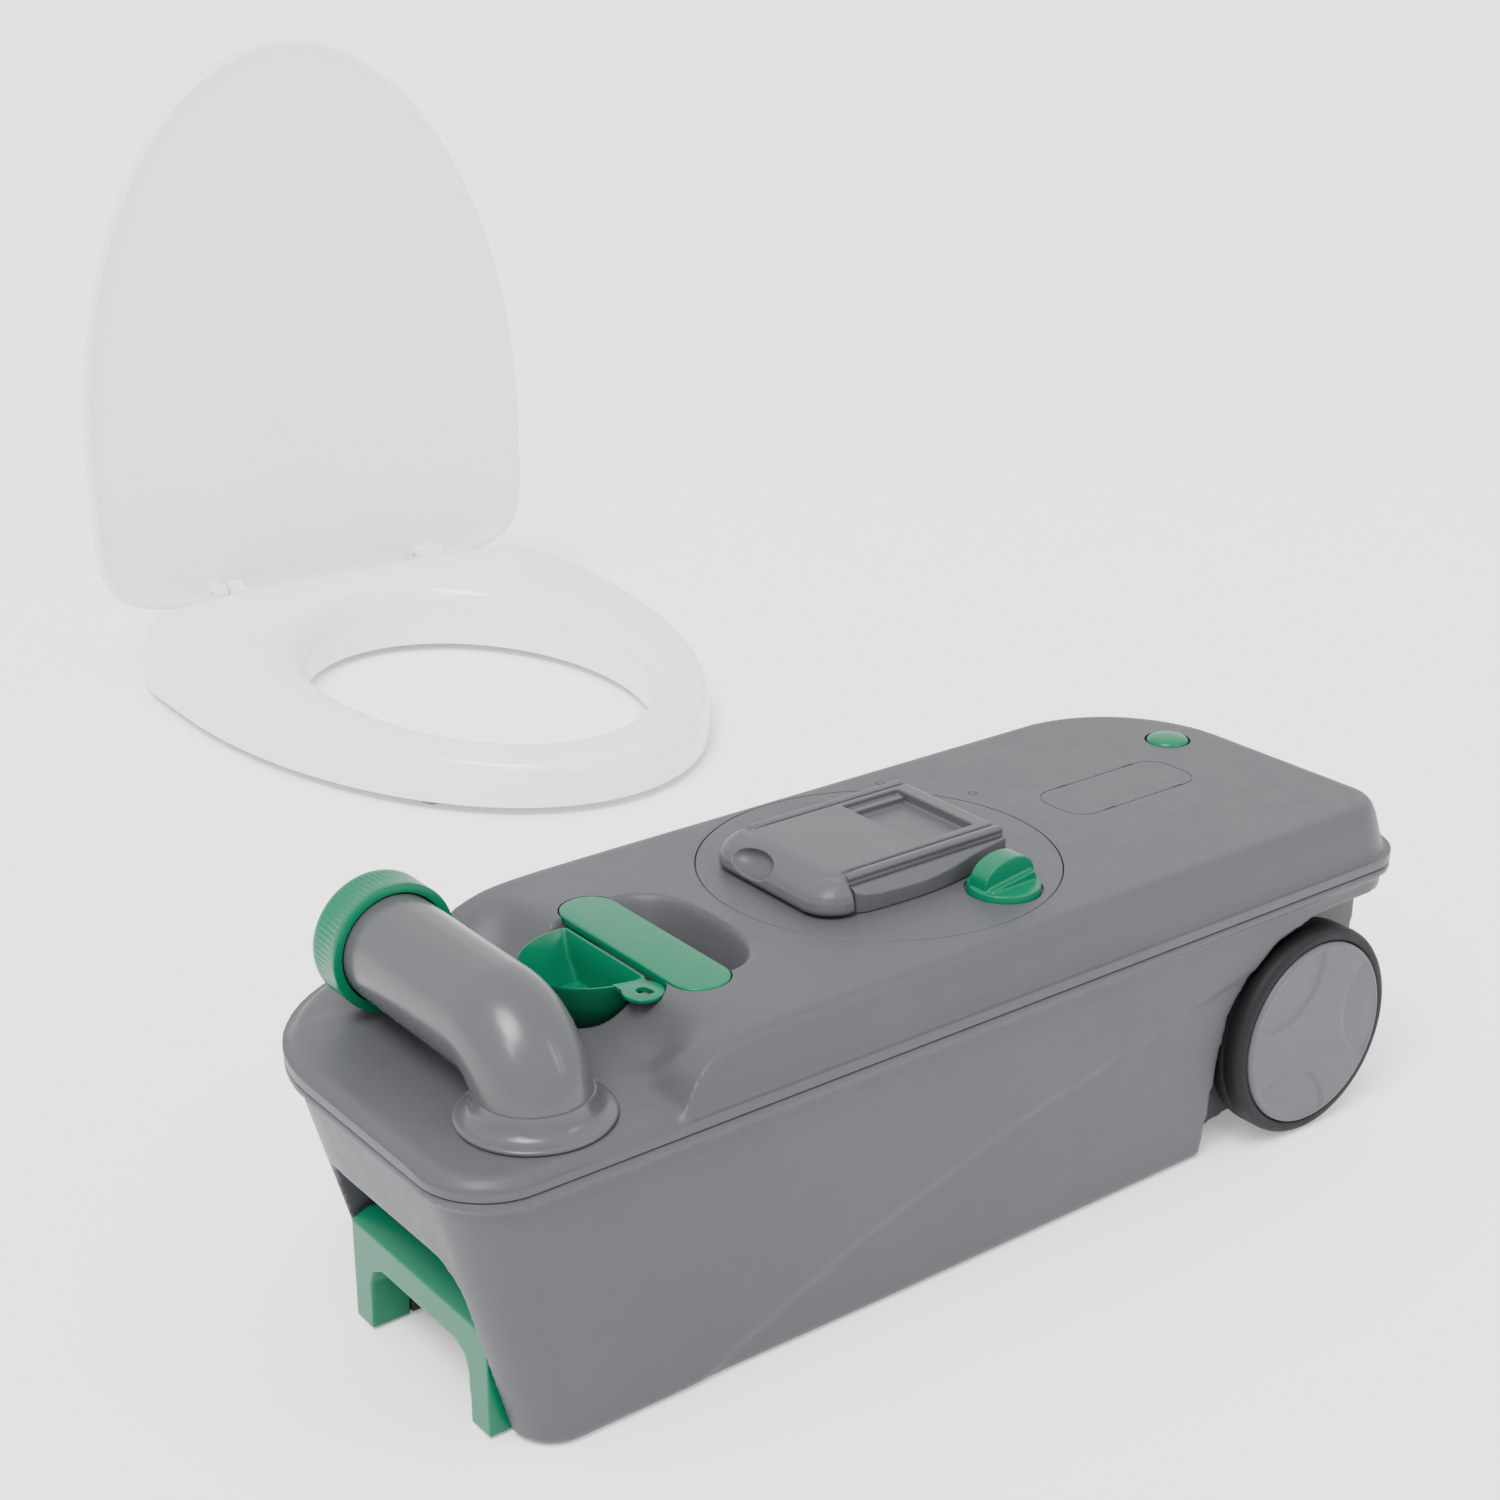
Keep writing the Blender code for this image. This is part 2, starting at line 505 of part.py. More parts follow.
# ------------------------------------------------------------------ waste inlet
def mechanism_disc():
    disc = add("mechanism_disc", cylinder("mechanism_disc", DISC_RADIUS, (0, DISC_Y, DISC_BOTTOM),
            (0, DISC_Y, DECK_Z), 64),
               LOOK["grey"])
    bore = cylinder("inlet_bore", INLET_RADIUS, (INLET_X, INLET_Y, 170 * MM), (INLET_X, INLET_Y, 200 * MM),
            40)
    shaft = cylinder("shaft_bore", 6.3 * MM, (KNOB_X, KNOB_Y, 170 * MM), (KNOB_X, KNOB_Y, 200 * MM), 24)
    seat = cylinder("knob_seat", KNOB_RADIUS + 0.8 * MM, (KNOB_X, KNOB_Y, DECK_Z - 1.5 * MM),
            (KNOB_X, KNOB_Y, 200 * MM), 36)
    cut(disc, add("inlet_bore", bore), add("shaft_bore", shaft), add("knob_seat", seat))
    seal_level = DISC_BOTTOM - GAP
    add("disc_seal", ring("disc_seal", 91 * MM, SHELF_RADIUS - 0.6 * MM, (0, DISC_Y, seal_level - 4 * MM),
                          (0, DISC_Y, seal_level), 40), LOOK["rubber"])
    add("lip_seal", ring("lip_seal", INLET_RADIUS + 0.5 * MM, INLET_RADIUS + 2.4 * MM,
                         (INLET_X, INLET_Y, DECK_Z + GAP), (INLET_X, INLET_Y, DECK_Z + 1.8 * MM), 40),
                         LOOK["rubber"])


def cover_rails():
    """Two fixed strips with bowed outer sides; the near one narrows to pass the knob."""
    for side, word in ((-1, "near"), (1, "far")):
        inner = COVER_RUNNER_HALF + 0.6 * MM
        bow = [(RAIL_X0, 51.0), (-40 * MM, 53.0), (-10 * MM, 54.0), (10 * MM, 52.6), (28 * MM, 49.8),
                (44 * MM, 48.0),
               (RAIL_X1, 46.2)]
        points = [(RAIL_X0, COVER_Y + side * inner)] + [(x, COVER_Y + side * y * MM) for x, y in bow]
        points.append((RAIL_X1, COVER_Y + side * inner))
        rail = add("cover_rail_" + word, extruded("cover_rail_" + word, points, (DECK_Z + GAP, RAIL_TOP)),
                LOOK["grey"])
        low, high = sorted((COVER_Y + side * (inner - 2 * MM), COVER_Y + side * (inner + 1.9 * MM)))
        groove = box("rail_groove_" + word, (COVER_NOSE_X - 10 * MM, low, 194.2 * MM),
                (COVER_X1 + 10 * MM, high, 197.8 * MM))
        cut(rail, add("rail_groove_" + word, groove))


def sliding_cover():
    """A runner between the rails and a full-width sloping nose, rounded by stacked sections."""
    levels = []
    for z, inset, front in ((COVER_BOTTOM, 0.0, 6.0), (COVER_TOP - 5 * MM, 0.6 * MM, 10.0),
            (COVER_TOP - 1.5 * MM, 2.4 * MM, 14.0),
                            (COVER_TOP, 5 * MM, 18.0)):
        outline = rounded(COVER_X0 + front * MM, COVER_X1 - inset, COVER_Y - COVER_RUNNER_HALF + inset,
                          COVER_Y + COVER_RUNNER_HALF - inset, (20 * MM, 3 * MM, 3 * MM, 20 * MM))
        levels.append([(x, y, z) for x, y in outline])
    cover = add("sliding_cover", loft("sliding_cover", levels), LOOK["grey"],
            (COVER_X0, COVER_Y, COVER_BOTTOM))
    nose = []
    for z, inset in ((-0.3, 0.0), (6.0, 1.0), (10.0, 4.0), (13.5, 10.0), (15.5, 16.0)):
        half = COVER_HALF - inset * MM
        low = COVER_X0 + inset * MM
        corner = min(18 * MM, COVER_NOSE_X - low - 1.5 * MM)
        outline = rounded(low, COVER_NOSE_X, COVER_Y - half, COVER_Y + half,
                (corner, 1 * MM, 1 * MM, corner))
        nose.append([(x, y, COVER_BOTTOM + z * MM) for x, y in outline])
    join(cover, add("cover_nose", loft("cover_nose", nose)))
    tongue = box("cover_tongue", (COVER_NOSE_X + 6 * MM, COVER_Y - COVER_RUNNER_HALF - 2 * MM, 194.6 * MM),
                 (COVER_X1 - 4 * MM, COVER_Y + COVER_RUNNER_HALF + 2 * MM, 197.4 * MM))
    join(cover, add("cover_tongue", tongue))
    window = box("cover_window", (5 * MM, COVER_Y - 31 * MM, COVER_TOP - 5 * MM),
            (43 * MM, COVER_Y + 32 * MM, COVER_TOP + 5 * MM))
    hollow = bmesh.new()
    bmesh.ops.create_uvsphere(hollow, u_segments=24, v_segments=12, radius=1.0)
    bmesh.ops.scale(hollow, vec=(10 * MM, 15 * MM, 7.5 * MM), verts=hollow.verts)
    bmesh.ops.translate(hollow, vec=(COVER_X0 + 3 * MM, COVER_Y + 14 * MM, COVER_BOTTOM + 9.5 * MM),
            verts=hollow.verts)
    relief = box("cover_relief", (COVER_NOSE_X + 5.3 * MM, COVER_Y - 41 * MM, COVER_BOTTOM - 5 * MM),
                 (COVER_X1 - 4.5 * MM, COVER_Y + 41 * MM, COVER_BOTTOM + 8 * MM))
    cut(cover, add("cover_window", window), add("thumb_hollow", finish(hollow, "thumb_hollow")),
            add("cover_relief", relief))


def blade_parts():
    """The valve plate, the ribs under it that the crank pin drives, and the two guides it slides in."""
    for side, word in ((-1, "near"), (1, "far")):
        inner = INLET_Y + side * (BLADE_HALF - 3 * MM)
        low, high = sorted((inner, inner + side * 8 * MM))
        guide = box("blade_guide_" + word, (-30 * MM, low, 169 * MM), (69 * MM, high, DISC_BOTTOM - GAP))
        made = add("blade_guide_" + word, guide, LOOK["dark"])
        low, high = sorted((inner - side * 5 * MM, inner + side * 3.5 * MM))
        groove = box("guide_groove_" + word, (-40 * MM, low, BLADE_Z0 - 0.4 * MM),
                (90 * MM, high, BLADE_Z1 + 0.4 * MM))
        cut(made, add("guide_groove_" + word, groove))
    plate = rounded(INLET_X - BLADE_HALF, INLET_X + BLADE_HALF, INLET_Y - BLADE_HALF, INLET_Y + BLADE_HALF,
            [26 * MM] * 4)
    blade = add("valve_blade", extruded("valve_blade", plate, (BLADE_Z0, BLADE_Z1)), LOOK["dark"],
            (INLET_X, INLET_Y, BLADE_Z0))
    # the crank pin runs up to 1.8 mm ahead of or behind the blade's even travel
    slack = 2.1 * MM
    start = KNOB_X - CRANK_RADIUS * math.cos(math.radians(45))
    for side, word in ((-1, "front"), (1, "rear")):
        low, high = sorted((start + side * (PIN_RADIUS + slack),
                start + side * (PIN_RADIUS + slack + 2.5 * MM)))
        rib = box("blade_rib_" + word, (low, -28 * MM, 168.2 * MM), (high, 3 * MM, BLADE_Z0 + 1 * MM))
        join(blade, add("blade_rib_" + word, rib))


def knob_parts():
    place = (KNOB_X, KNOB_Y, DECK_Z)
    base = DECK_Z - 1.2 * MM
    knob = add("valve_knob", cylinder("valve_knob", KNOB_RADIUS, (KNOB_X, KNOB_Y, base),
            (KNOB_X, KNOB_Y, DECK_Z + 3.5 * MM), 36,
                                      KNOB_RADIUS - 1 * MM), LOOK["green"], place)
    outline = [(-17, 3), (-15.5, 11.5), (-11, 16), (-2, 18.5), (8, 18.8), (14.5, 16.5), (17, 11), (17.5, 3)]
    points = [(KNOB_X + x * MM, DECK_Z + z * MM) for x, z in outline]
    join(knob, add("knob_fin", extruded("knob_fin", points, (KNOB_Y - 5 * MM, KNOB_Y + 8 * MM), "XZ")))
    add("knob_shaft", cylinder("knob_shaft", 5.5 * MM, (KNOB_X, KNOB_Y, 167.8 * MM),
            (KNOB_X, KNOB_Y, base - GAP), 24), LOOK["dark"], place)
    add("knob_o_ring", ring("knob_o_ring", 5.8 * MM, 8.4 * MM, (KNOB_X, KNOB_Y, DISC_BOTTOM - GAP - 3 * MM),
                            (KNOB_X, KNOB_Y, DISC_BOTTOM - GAP), 24), LOOK["rubber"])
    angle = math.radians(135)
    pin = Vector((KNOB_X + CRANK_RADIUS * math.cos(angle), KNOB_Y + CRANK_RADIUS * math.sin(angle), 0))
    crank = add("crank_arm", cylinder("crank_arm", 8 * MM, (KNOB_X, KNOB_Y, 163.5 * MM),
            (KNOB_X, KNOB_Y, 167.3 * MM), 24),
                LOOK["dark"], place)
    across = Vector((-math.sin(angle), math.cos(angle), 0)) * 5 * MM
    along = Vector((math.cos(angle), math.sin(angle), 0)) * 3 * MM
    hub = Vector((KNOB_X, KNOB_Y, 0))
    corners = [hub + across, hub - across, pin + along - across, pin + along + across]
    bar = extruded("crank_bar", [(p.x, p.y) for p in corners], (163.5 * MM, 166.8 * MM))
    peg = cylinder("crank_pin", PIN_RADIUS, (pin.x, pin.y, 164 * MM), (pin.x, pin.y, 171.5 * MM), 20)
    join(crank, add("crank_bar", bar), add("crank_pin", peg))


def vent_parts():
    def level(radius, low, high, segments=28):
        return cylinder("vent", radius, (VENT_X, VENT_Y, low * MM), (VENT_X, VENT_Y, high * MM), segments)
    place = (VENT_X, VENT_Y, DECK_Z)
    dome = [(0, 14), (6, 13.6), (10.5, 12.4), (12.8, 10), (12.8, 0), (0, 0)]
    profile = [(r * MM, z * MM) for r, z in dome]
    add("vent_button", turned("vent_button", profile, (VENT_X, VENT_Y, 178 * MM), (VENT_X, VENT_Y, 190 * MM),
            32), LOOK["green"], place)
    add("vent_stem", level(3 * MM, 152, 177.7), LOOK["dark"], place)
    sleeve = [(3.6, 0), (3.6, 3), (13.6, 3), (13.6, 17), (16.5, 17), (16.5, 0)]
    points = [(r * MM, z * MM) for r, z in sleeve]
    add("vent_sleeve", turned("vent_sleeve", points[::-1], (VENT_X, VENT_Y, 168.6 * MM),
            (VENT_X, VENT_Y, 190 * MM), 24, closed=True),
        LOOK["dark"])
    add("vent_spring", ring("vent_spring", 4.2 * MM, 6 * MM, (VENT_X, VENT_Y, 171.9 * MM),
            (VENT_X, VENT_Y, 177.7 * MM), 24), LOOK["steel"])
    add("vent_seal", ring("vent_seal", 3.3 * MM, 8 * MM, (VENT_X, VENT_Y, 165 * MM),
            (VENT_X, VENT_Y, 168.2 * MM), 24), LOOK["rubber"], place)


# ------------------------------------------------------------------ level float
FLOAT_X, FLOAT_Y, FLOAT_Z = 180 * MM, -20 * MM, 174 * MM


def float_parts():
    bracket = add("float_bracket", box("float_bracket", (FLOAT_X - 8 * MM, FLOAT_Y - 9 * MM,
            FLOAT_Z - 7 * MM),
                                       (FLOAT_X + 8 * MM, FLOAT_Y + 9 * MM, DECK_Z - WALL - GAP)),
                                       LOOK["dark"])
    slot = box("bracket_slot", (FLOAT_X - 20 * MM, FLOAT_Y - 4.5 * MM, FLOAT_Z - 12 * MM),
            (FLOAT_X + 20 * MM, FLOAT_Y + 4.5 * MM, FLOAT_Z + 7 * MM))
    hole = cylinder("bracket_hole", 2.4 * MM, (FLOAT_X, FLOAT_Y - 20 * MM, FLOAT_Z),
            (FLOAT_X, FLOAT_Y + 20 * MM, FLOAT_Z), 20)
    cut(bracket, add("bracket_slot", slot), add("bracket_hole", hole))
    add("float_pin", cylinder("float_pin", 2 * MM, (FLOAT_X, FLOAT_Y - 9 * MM, FLOAT_Z),
            (FLOAT_X, FLOAT_Y + 9 * MM, FLOAT_Z), 20), LOOK["steel"])
    place = (FLOAT_X, FLOAT_Y, FLOAT_Z)
    end = Vector((FLOAT_X - 62 * MM, FLOAT_Y, FLOAT_Z - 62 * MM))
    arm = add("float_arm", cylinder("float_arm", 5 * MM, (FLOAT_X, FLOAT_Y - 3.8 * MM, FLOAT_Z),
            (FLOAT_X, FLOAT_Y + 3.8 * MM, FLOAT_Z), 24),
              LOOK["dark"], place)
    eye = cylinder("arm_eye", 2.4 * MM, (FLOAT_X, FLOAT_Y - 9 * MM, FLOAT_Z),
            (FLOAT_X, FLOAT_Y + 9 * MM, FLOAT_Z), 20)
    start = Vector(place) + (end - Vector(place)).normalized() * 4 * MM
    join(arm, add("arm_rod", cylinder("arm_rod", 2.2 * MM, start, end, 16)))
    cut(arm, add("arm_eye", eye))
    drop = (end - Vector(place)).normalized()
    add("float_body", cylinder("float_body", 14 * MM, end + drop * GAP, end + drop * 34 * MM, 28),
            LOOK["pale"], place)


# ------------------------------------------------------------------ spout
def elbow_path(first, last):
    """Up from the deck, round a quarter bend, then level along +Y."""
    points = [(SPOUT_X, SPOUT_Y, first), (SPOUT_X, SPOUT_Y, SPOUT_Z - SPOUT_BEND - 1 * MM)]
    for k in range(9):
        angle = math.pi / 2 * k / 8
        points.append((SPOUT_X, SPOUT_Y + SPOUT_BEND * (1 - math.cos(angle)),
                SPOUT_Z - SPOUT_BEND * (1 - math.sin(angle))))
    points.append((SPOUT_X, last, SPOUT_Z))
    return points


def spout_parts():
    place = (SPOUT_X, SPOUT_Y, FRONT_DECK_Z)
    elbow = add("spout_elbow", tube("spout_elbow", [(SPOUT_X, SPOUT_Y, 145 * MM),
            (SPOUT_X, SPOUT_Y, FRONT_DECK_Z + 2 * MM)], SPOUT_RADIUS - 2.3 * MM, True, 4), LOOK["grey"],
            place)
    visible = elbow_path(FRONT_DECK_Z + GAP, SPOUT_END_Y)
    join(elbow, add("elbow_outer", tube("elbow_outer", visible, SPOUT_RADIUS, True, 5)))
    flange = [(0, 6), (30.5, 6), (33, 4), (36.5, 2.6), (38.6, 2.2), (38.6, 0), (0, 0)]
    profile = [(r * MM, z * MM) for r, z in flange]
    join(elbow, add("elbow_flange", turned("elbow_flange", profile, (SPOUT_X, SPOUT_Y, FRONT_DECK_Z + GAP),
                                           (SPOUT_X, SPOUT_Y, 190 * MM), 36)))
    neck = [(NECK_RADIUS, 0), (NECK_RADIUS, 20 * MM), (SPOUT_RADIUS + 2 * MM, 20 * MM),
            (SPOUT_RADIUS + 2 * MM, 0)]
    step = turned("neck_step", neck, (SPOUT_X, CAP_Y0 + 1.5 * MM, SPOUT_Z), (SPOUT_X, CAP_Y1, SPOUT_Z), 44,
            closed=True)
    cut(elbow, add("neck_step", step))
    cut(elbow, add("elbow_bore", tube("elbow_bore", elbow_path(135 * MM, SPOUT_END_Y + 10 * MM),
            SPOUT_RADIUS - 5 * MM, True, 4)))
    deck_under = FRONT_DECK_Z - WALL - GAP
    add("spout_o_ring", ring("spout_o_ring", 26.4 * MM, 30.4 * MM, (SPOUT_X, SPOUT_Y, deck_under - 3.5 * MM),
            (SPOUT_X, SPOUT_Y, deck_under), 28),
        LOOK["rubber"])
    add("spout_collar", ring("spout_collar", 26.4 * MM, 34 * MM, (SPOUT_X, SPOUT_Y, deck_under - 10 * MM),
                             (SPOUT_X, SPOUT_Y, deck_under - 3.8 * MM), 28), LOOK["dark"])
    axis = (SPOUT_X, SPOUT_END_Y, SPOUT_Z)
    inside = CAP_Y1 - 2.5 * MM
    add("cap_gasket", ring("cap_gasket", 22 * MM, 28.8 * MM, (SPOUT_X, SPOUT_END_Y + GAP, SPOUT_Z),
            (SPOUT_X, inside - GAP, SPOUT_Z), 32),
        LOOK["rubber"], axis)
    depth, bore = CAP_Y1 - CAP_Y0, SPOUT_RADIUS + 0.8 * MM
    shell = [(0, depth), (CAP_RADIUS - 2 * MM, depth), (CAP_RADIUS, depth - 2 * MM), (CAP_RADIUS, 0),
            (bore, 0),
             (bore, inside - CAP_Y0), (0, inside - CAP_Y0)]
    add("spout_cap", turned("spout_cap", shell, (SPOUT_X, CAP_Y0, SPOUT_Z), (SPOUT_X, CAP_Y1, SPOUT_Z), 44),
            LOOK["green"], axis)


# ------------------------------------------------------------------ transport
def pull_handle():
    place = (HANDLE_FRONT, HANDLE_Y, ARM_Z0)
    y0, y1 = HANDLE_Y - HANDLE_HALF, HANDLE_Y + HANDLE_HALF
    low, bar_low = 1 * MM, HANDLE_TOP - BAR_HEIGHT
    arch = [(y0, low), (y0 + LEG_WIDTH, low), (y0 + LEG_WIDTH + 2 * MM, bar_low - 8 * MM),
            (y0 + LEG_WIDTH + 10 * MM, bar_low),
            (y1 - LEG_WIDTH - 10 * MM, bar_low), (y1 - LEG_WIDTH - 2 * MM, bar_low - 8 * MM),
            (y1 - LEG_WIDTH, low), (y1, low),
            (y1, HANDLE_TOP - 8 * MM), (y1 - 8 * MM, HANDLE_TOP), (y0 + 8 * MM, HANDLE_TOP),
            (y0, HANDLE_TOP - 8 * MM)]
    handle = add("pull_handle", extruded("pull_handle", arch, (HANDLE_FRONT, HANDLE_BACK), "YZ"),
            LOOK["green"], place)
    rib = box("handle_rib", (HANDLE_BACK - 4 * MM, y0 + LEG_WIDTH - 2 * MM, 30 * MM),
            (HANDLE_BACK + 2 * MM, y1 - LEG_WIDTH + 2 * MM, 60 * MM))
    join(handle, add("handle_rib", rib))
    for side, word in ((-1, "near"), (1, "far")):
        middle = HANDLE_Y + side * ARM_OFFSET
        arm = box("handle_arm_" + word, (HANDLE_BACK + GAP, middle - ARM_HALF, ARM_Z0),
                (ARM_END, middle + ARM_HALF, ARM_Z1))
        add("handle_arm_" + word, arm, LOOK["dark"], place)
    for x, word in ((-225 * MM, "front"), (60 * MM, "rear")):
        strap = box("handle_guide_" + word, (x - 9.5 * MM, HANDLE_Y - 69 * MM, 0.2 * MM),
                (x + 9.5 * MM, HANDLE_Y + 69 * MM, 2.1 * MM))
        add("handle_guide_" + word, strap, LOOK["dark"])


def wheel_parts(side, word):
    def line(low, high):
        return (WHEEL_X, side * low * MM, WHEEL_Z), (WHEEL_X, side * high * MM, WHEEL_Z)
    place = (WHEEL_X, side * 111 * MM, WHEEL_Z)
    tread = [(TYRE_BORE, 24), (61.5 * MM, 24), (TYRE_RADIUS, 21.5), (TYRE_RADIUS, 3), (61.5 * MM, 0),
            (TYRE_BORE, 0)]
    profile = [(r, z * MM) for r, z in tread]
    start, end = line(99, 123)
    add("wheel_tyre_" + word, turned("wheel_tyre_" + word, profile, start, end, 48, closed=True),
            LOOK["black"], place)
    rim_bore = STUB_RADIUS + GAP
    rim = [(rim_bore, 22), (14 * MM, 22), (14 * MM, 12), (51 * MM, 12), (51 * MM, 22), (TYRE_BORE - GAP, 22),
            (TYRE_BORE - GAP, 0),
           (51 * MM, 0), (51 * MM, 8), (14 * MM, 8), (14 * MM, 0), (rim_bore, 0)]
    profile = [(r, z * MM) for r, z in rim]
    start, end = line(99, 121)
    add("wheel_rim_" + word, turned("wheel_rim_" + word, profile, start, end, 28, closed=True), LOOK["dark"],
            place)
    cap = [(0, 3.4), (50 * MM, 3.4), (54 * MM, 2.6), (55.4 * MM, 0.9), (55.4 * MM, 0), (0, 0)]
    profile = [(r, z * MM) for r, z in cap]
    start, end = line(121.3, 124.7)
    add("wheel_cap_" + word, turned("wheel_cap_" + word, profile, start, end, 40), LOOK["hub"], place)
    start, end = line(80.4, 116)
    add("stub_axle_" + word, cylinder("stub_axle_" + word, STUB_RADIUS, start, end, 24), LOOK["steel"])


# ------------------------------------------------------------------ seat
def seat_outline(count, half_width, half_length):
    """Points round a seat or lid in plan, from the back's middle: square behind, an ellipse at the nose."""
    points = []
    for k in range(count):
        turn = 2 * math.pi * k / count
        across, along = math.sin(turn), math.cos(turn)
        if along > 0:
            reach = SEAT_WIDEST * 2 * half_length
            scale = (abs(across) ** 6 + abs(along) ** 6) ** (-1 / 6)
            points.append((half_width * across * scale, half_length - reach + reach * along * scale))
        else:
            reach = (1 - SEAT_WIDEST) * 2 * half_length
            points.append((half_width * across, half_length - SEAT_WIDEST * 2 * half_length + reach * along))
    return points


def opening_outline(count):
    points = []
    for k in range(count):
        turn = 2 * math.pi * k / count
        points.append((OPENING_HALF_WIDTH * math.sin(turn),
                OPENING_SHIFT + OPENING_HALF_LENGTH * math.cos(turn)))
    return points


def seat_point(x, y, z):
    """A point of the seat's own frame, in the world."""
    turn = Matrix.Rotation(SEAT_TURN, 3, "Z")
    return turn @ Vector((x, y, z)) + Vector(SEAT_PLACE)


def seat_top(y):
    share = (y + SEAT_HALF_LENGTH) / (2 * SEAT_HALF_LENGTH)
    return SEAT_NOSE_TOP + (SEAT_BACK_TOP - SEAT_NOSE_TOP) * share


def seat_ring():
    """A hollow moulding, open below: one closed section carried round the opening."""
    count = 52
    outer, inner = seat_outline(count, SEAT_HALF_WIDTH, SEAT_HALF_LENGTH), opening_outline(count)
    wall = 0.055
    profile = [(0.0, 0.0), (0.0, 0.74), (0.05, 0.93), (0.16, 1.0), (0.84, 1.0), (0.95, 0.93), (1.0, 0.74),
            (1.0, 0.0),
               (1.0 - wall, 0.0), (1.0 - wall, 0.82), (wall, 0.82), (wall, 0.0)]
    sections = []
    for (ox, oy), (ix, iy) in zip(outer, inner):
        section = []
        for share, height in profile:
            x, y = ix + (ox - ix) * share, iy + (oy - iy) * share
            section.append(seat_point(x, y, SEAT_BOTTOM + (seat_top(y) - SEAT_BOTTOM) * height))
        sections.append(section)
    made = add("seat_ring", loft("seat_ring", sections, closed=True), LOOK["white"], SEAT_PLACE)
    for (x, y), word in zip(BUFFERS, BUFFER_WORDS):
        pillar = cylinder("buffer_boss_" + word, 11 * MM, seat_point(x, y, SEAT_BOTTOM + 1 * MM),
                seat_point(x, y, seat_top(y) - 4 * MM), 20)
        join(made, add("buffer_boss_" + word, pillar))
        pad = cylinder("seat_buffer_" + word, 9 * MM, seat_point(x, y, 0),
                seat_point(x, y, SEAT_BOTTOM + 1 * MM - GAP), 24)
        add("seat_buffer_" + word, pad, LOOK["rubber"])
    for x in (-HINGE_X, HINGE_X):
        word = "left" if x < 0 else "right"
        ear = cylinder("ring_ear_" + word, 9 * MM, seat_point(x - 7 * MM, HINGE_Y, HINGE_Z),
                seat_point(x + 7 * MM, HINGE_Y, HINGE_Z), 24)
        root = box("ring_ear_root_" + word, (-6.5 * MM, -28 * MM, -7.7 * MM), (6.5 * MM, 1 * MM, 6.3 * MM))
        root.transform(Matrix.Translation(seat_point(x, HINGE_Y, HINGE_Z)) @ Matrix.Rotation(SEAT_TURN, 4,
                "Z"))
        hole = cylinder("ring_ear_hole_" + word, 3.05 * MM, seat_point(x - 12 * MM, HINGE_Y, HINGE_Z),
                seat_point(x + 12 * MM, HINGE_Y, HINGE_Z), 20)
        join(made, add("ring_ear_" + word, ear), add("ring_ear_root_" + word, root))
        cut(made, add("ring_ear_hole_" + word, hole))


BUFFERS = ((-168 * MM, 90 * MM), (168 * MM, 90 * MM), (-119 * MM, -153 * MM), (119 * MM, -153 * MM))
BUFFER_WORDS = ("back_left", "back_right", "front_left", "front_right")


def lid_point(x, v, depth):
    """A point of the open lid: x across, v up from the hinge, depth behind the face that meets the ring."""
    lean = LID_OPEN - math.pi / 2
    offset = LID_STANDOFF + depth
    y = HINGE_Y + v * math.sin(lean) + offset * math.cos(lean)
    z = HINGE_Z + v * math.cos(lean) - offset * math.sin(lean)
    return seat_point(x, y, z)


def seat_lid():
    """A dished panel with a raised edge; its back edge is just below the hinge line."""
    count = 48
    drop = 14 * MM

    def level(inset, depth):
        outline = seat_outline(count, LID_HALF_WIDTH - inset, LID_HALF_LENGTH - inset)
        return [lid_point(x, LID_HALF_LENGTH - y - drop, depth) for x, y in outline]

    levels = [level(30 * MM, 5 * MM), level(9 * MM, 3 * MM), level(4 * MM, 0.0), level(1 * MM, 1 * MM),
            level(0.0, 4 * MM),
              level(2 * MM, 8 * MM), level(14 * MM, LID_THICK + 1 * MM), level(40 * MM, LID_THICK + 2 * MM)]
    axis = seat_point(0, HINGE_Y, HINGE_Z)
    lid = add("seat_lid", loft("seat_lid", levels), LOOK["white"], axis)
    for x in (-HINGE_X - 14.5 * MM, HINGE_X + 14.5 * MM):
        word = "left" if x < 0 else "right"
        lug = cylinder("lid_lug_" + word, 7.5 * MM, seat_point(x - 6.5 * MM, HINGE_Y, HINGE_Z),
                seat_point(x + 6.5 * MM, HINGE_Y, HINGE_Z), 24)
        web = box("lid_web_" + word, (-6.5 * MM, 0, -7 * MM), (6.5 * MM, 15 * MM, 7 * MM))
        web.transform(Matrix.Translation(seat_point(x, HINGE_Y, HINGE_Z)) @ Matrix.Rotation(SEAT_TURN, 4,
                "Z"))
        hole = cylinder("lid_lug_hole_" + word, 3.05 * MM, seat_point(x - 12 * MM, HINGE_Y, HINGE_Z),
                seat_point(x + 12 * MM, HINGE_Y, HINGE_Z), 20)
        join(lid, add("lid_lug_" + word, lug), add("lid_web_" + word, web))
        cut(lid, add("lid_lug_hole_" + word, hole))
    for x in (-HINGE_X - 7 * MM, HINGE_X + 7 * MM):
        word = "left" if x < 0 else "right"
        pin = cylinder("hinge_pin_" + word, 3 * MM, seat_point(x - 13 * MM, HINGE_Y, HINGE_Z),
                seat_point(x + 13 * MM, HINGE_Y, HINGE_Z), 20)
        add("hinge_pin_" + word, pin, LOOK["steel"])


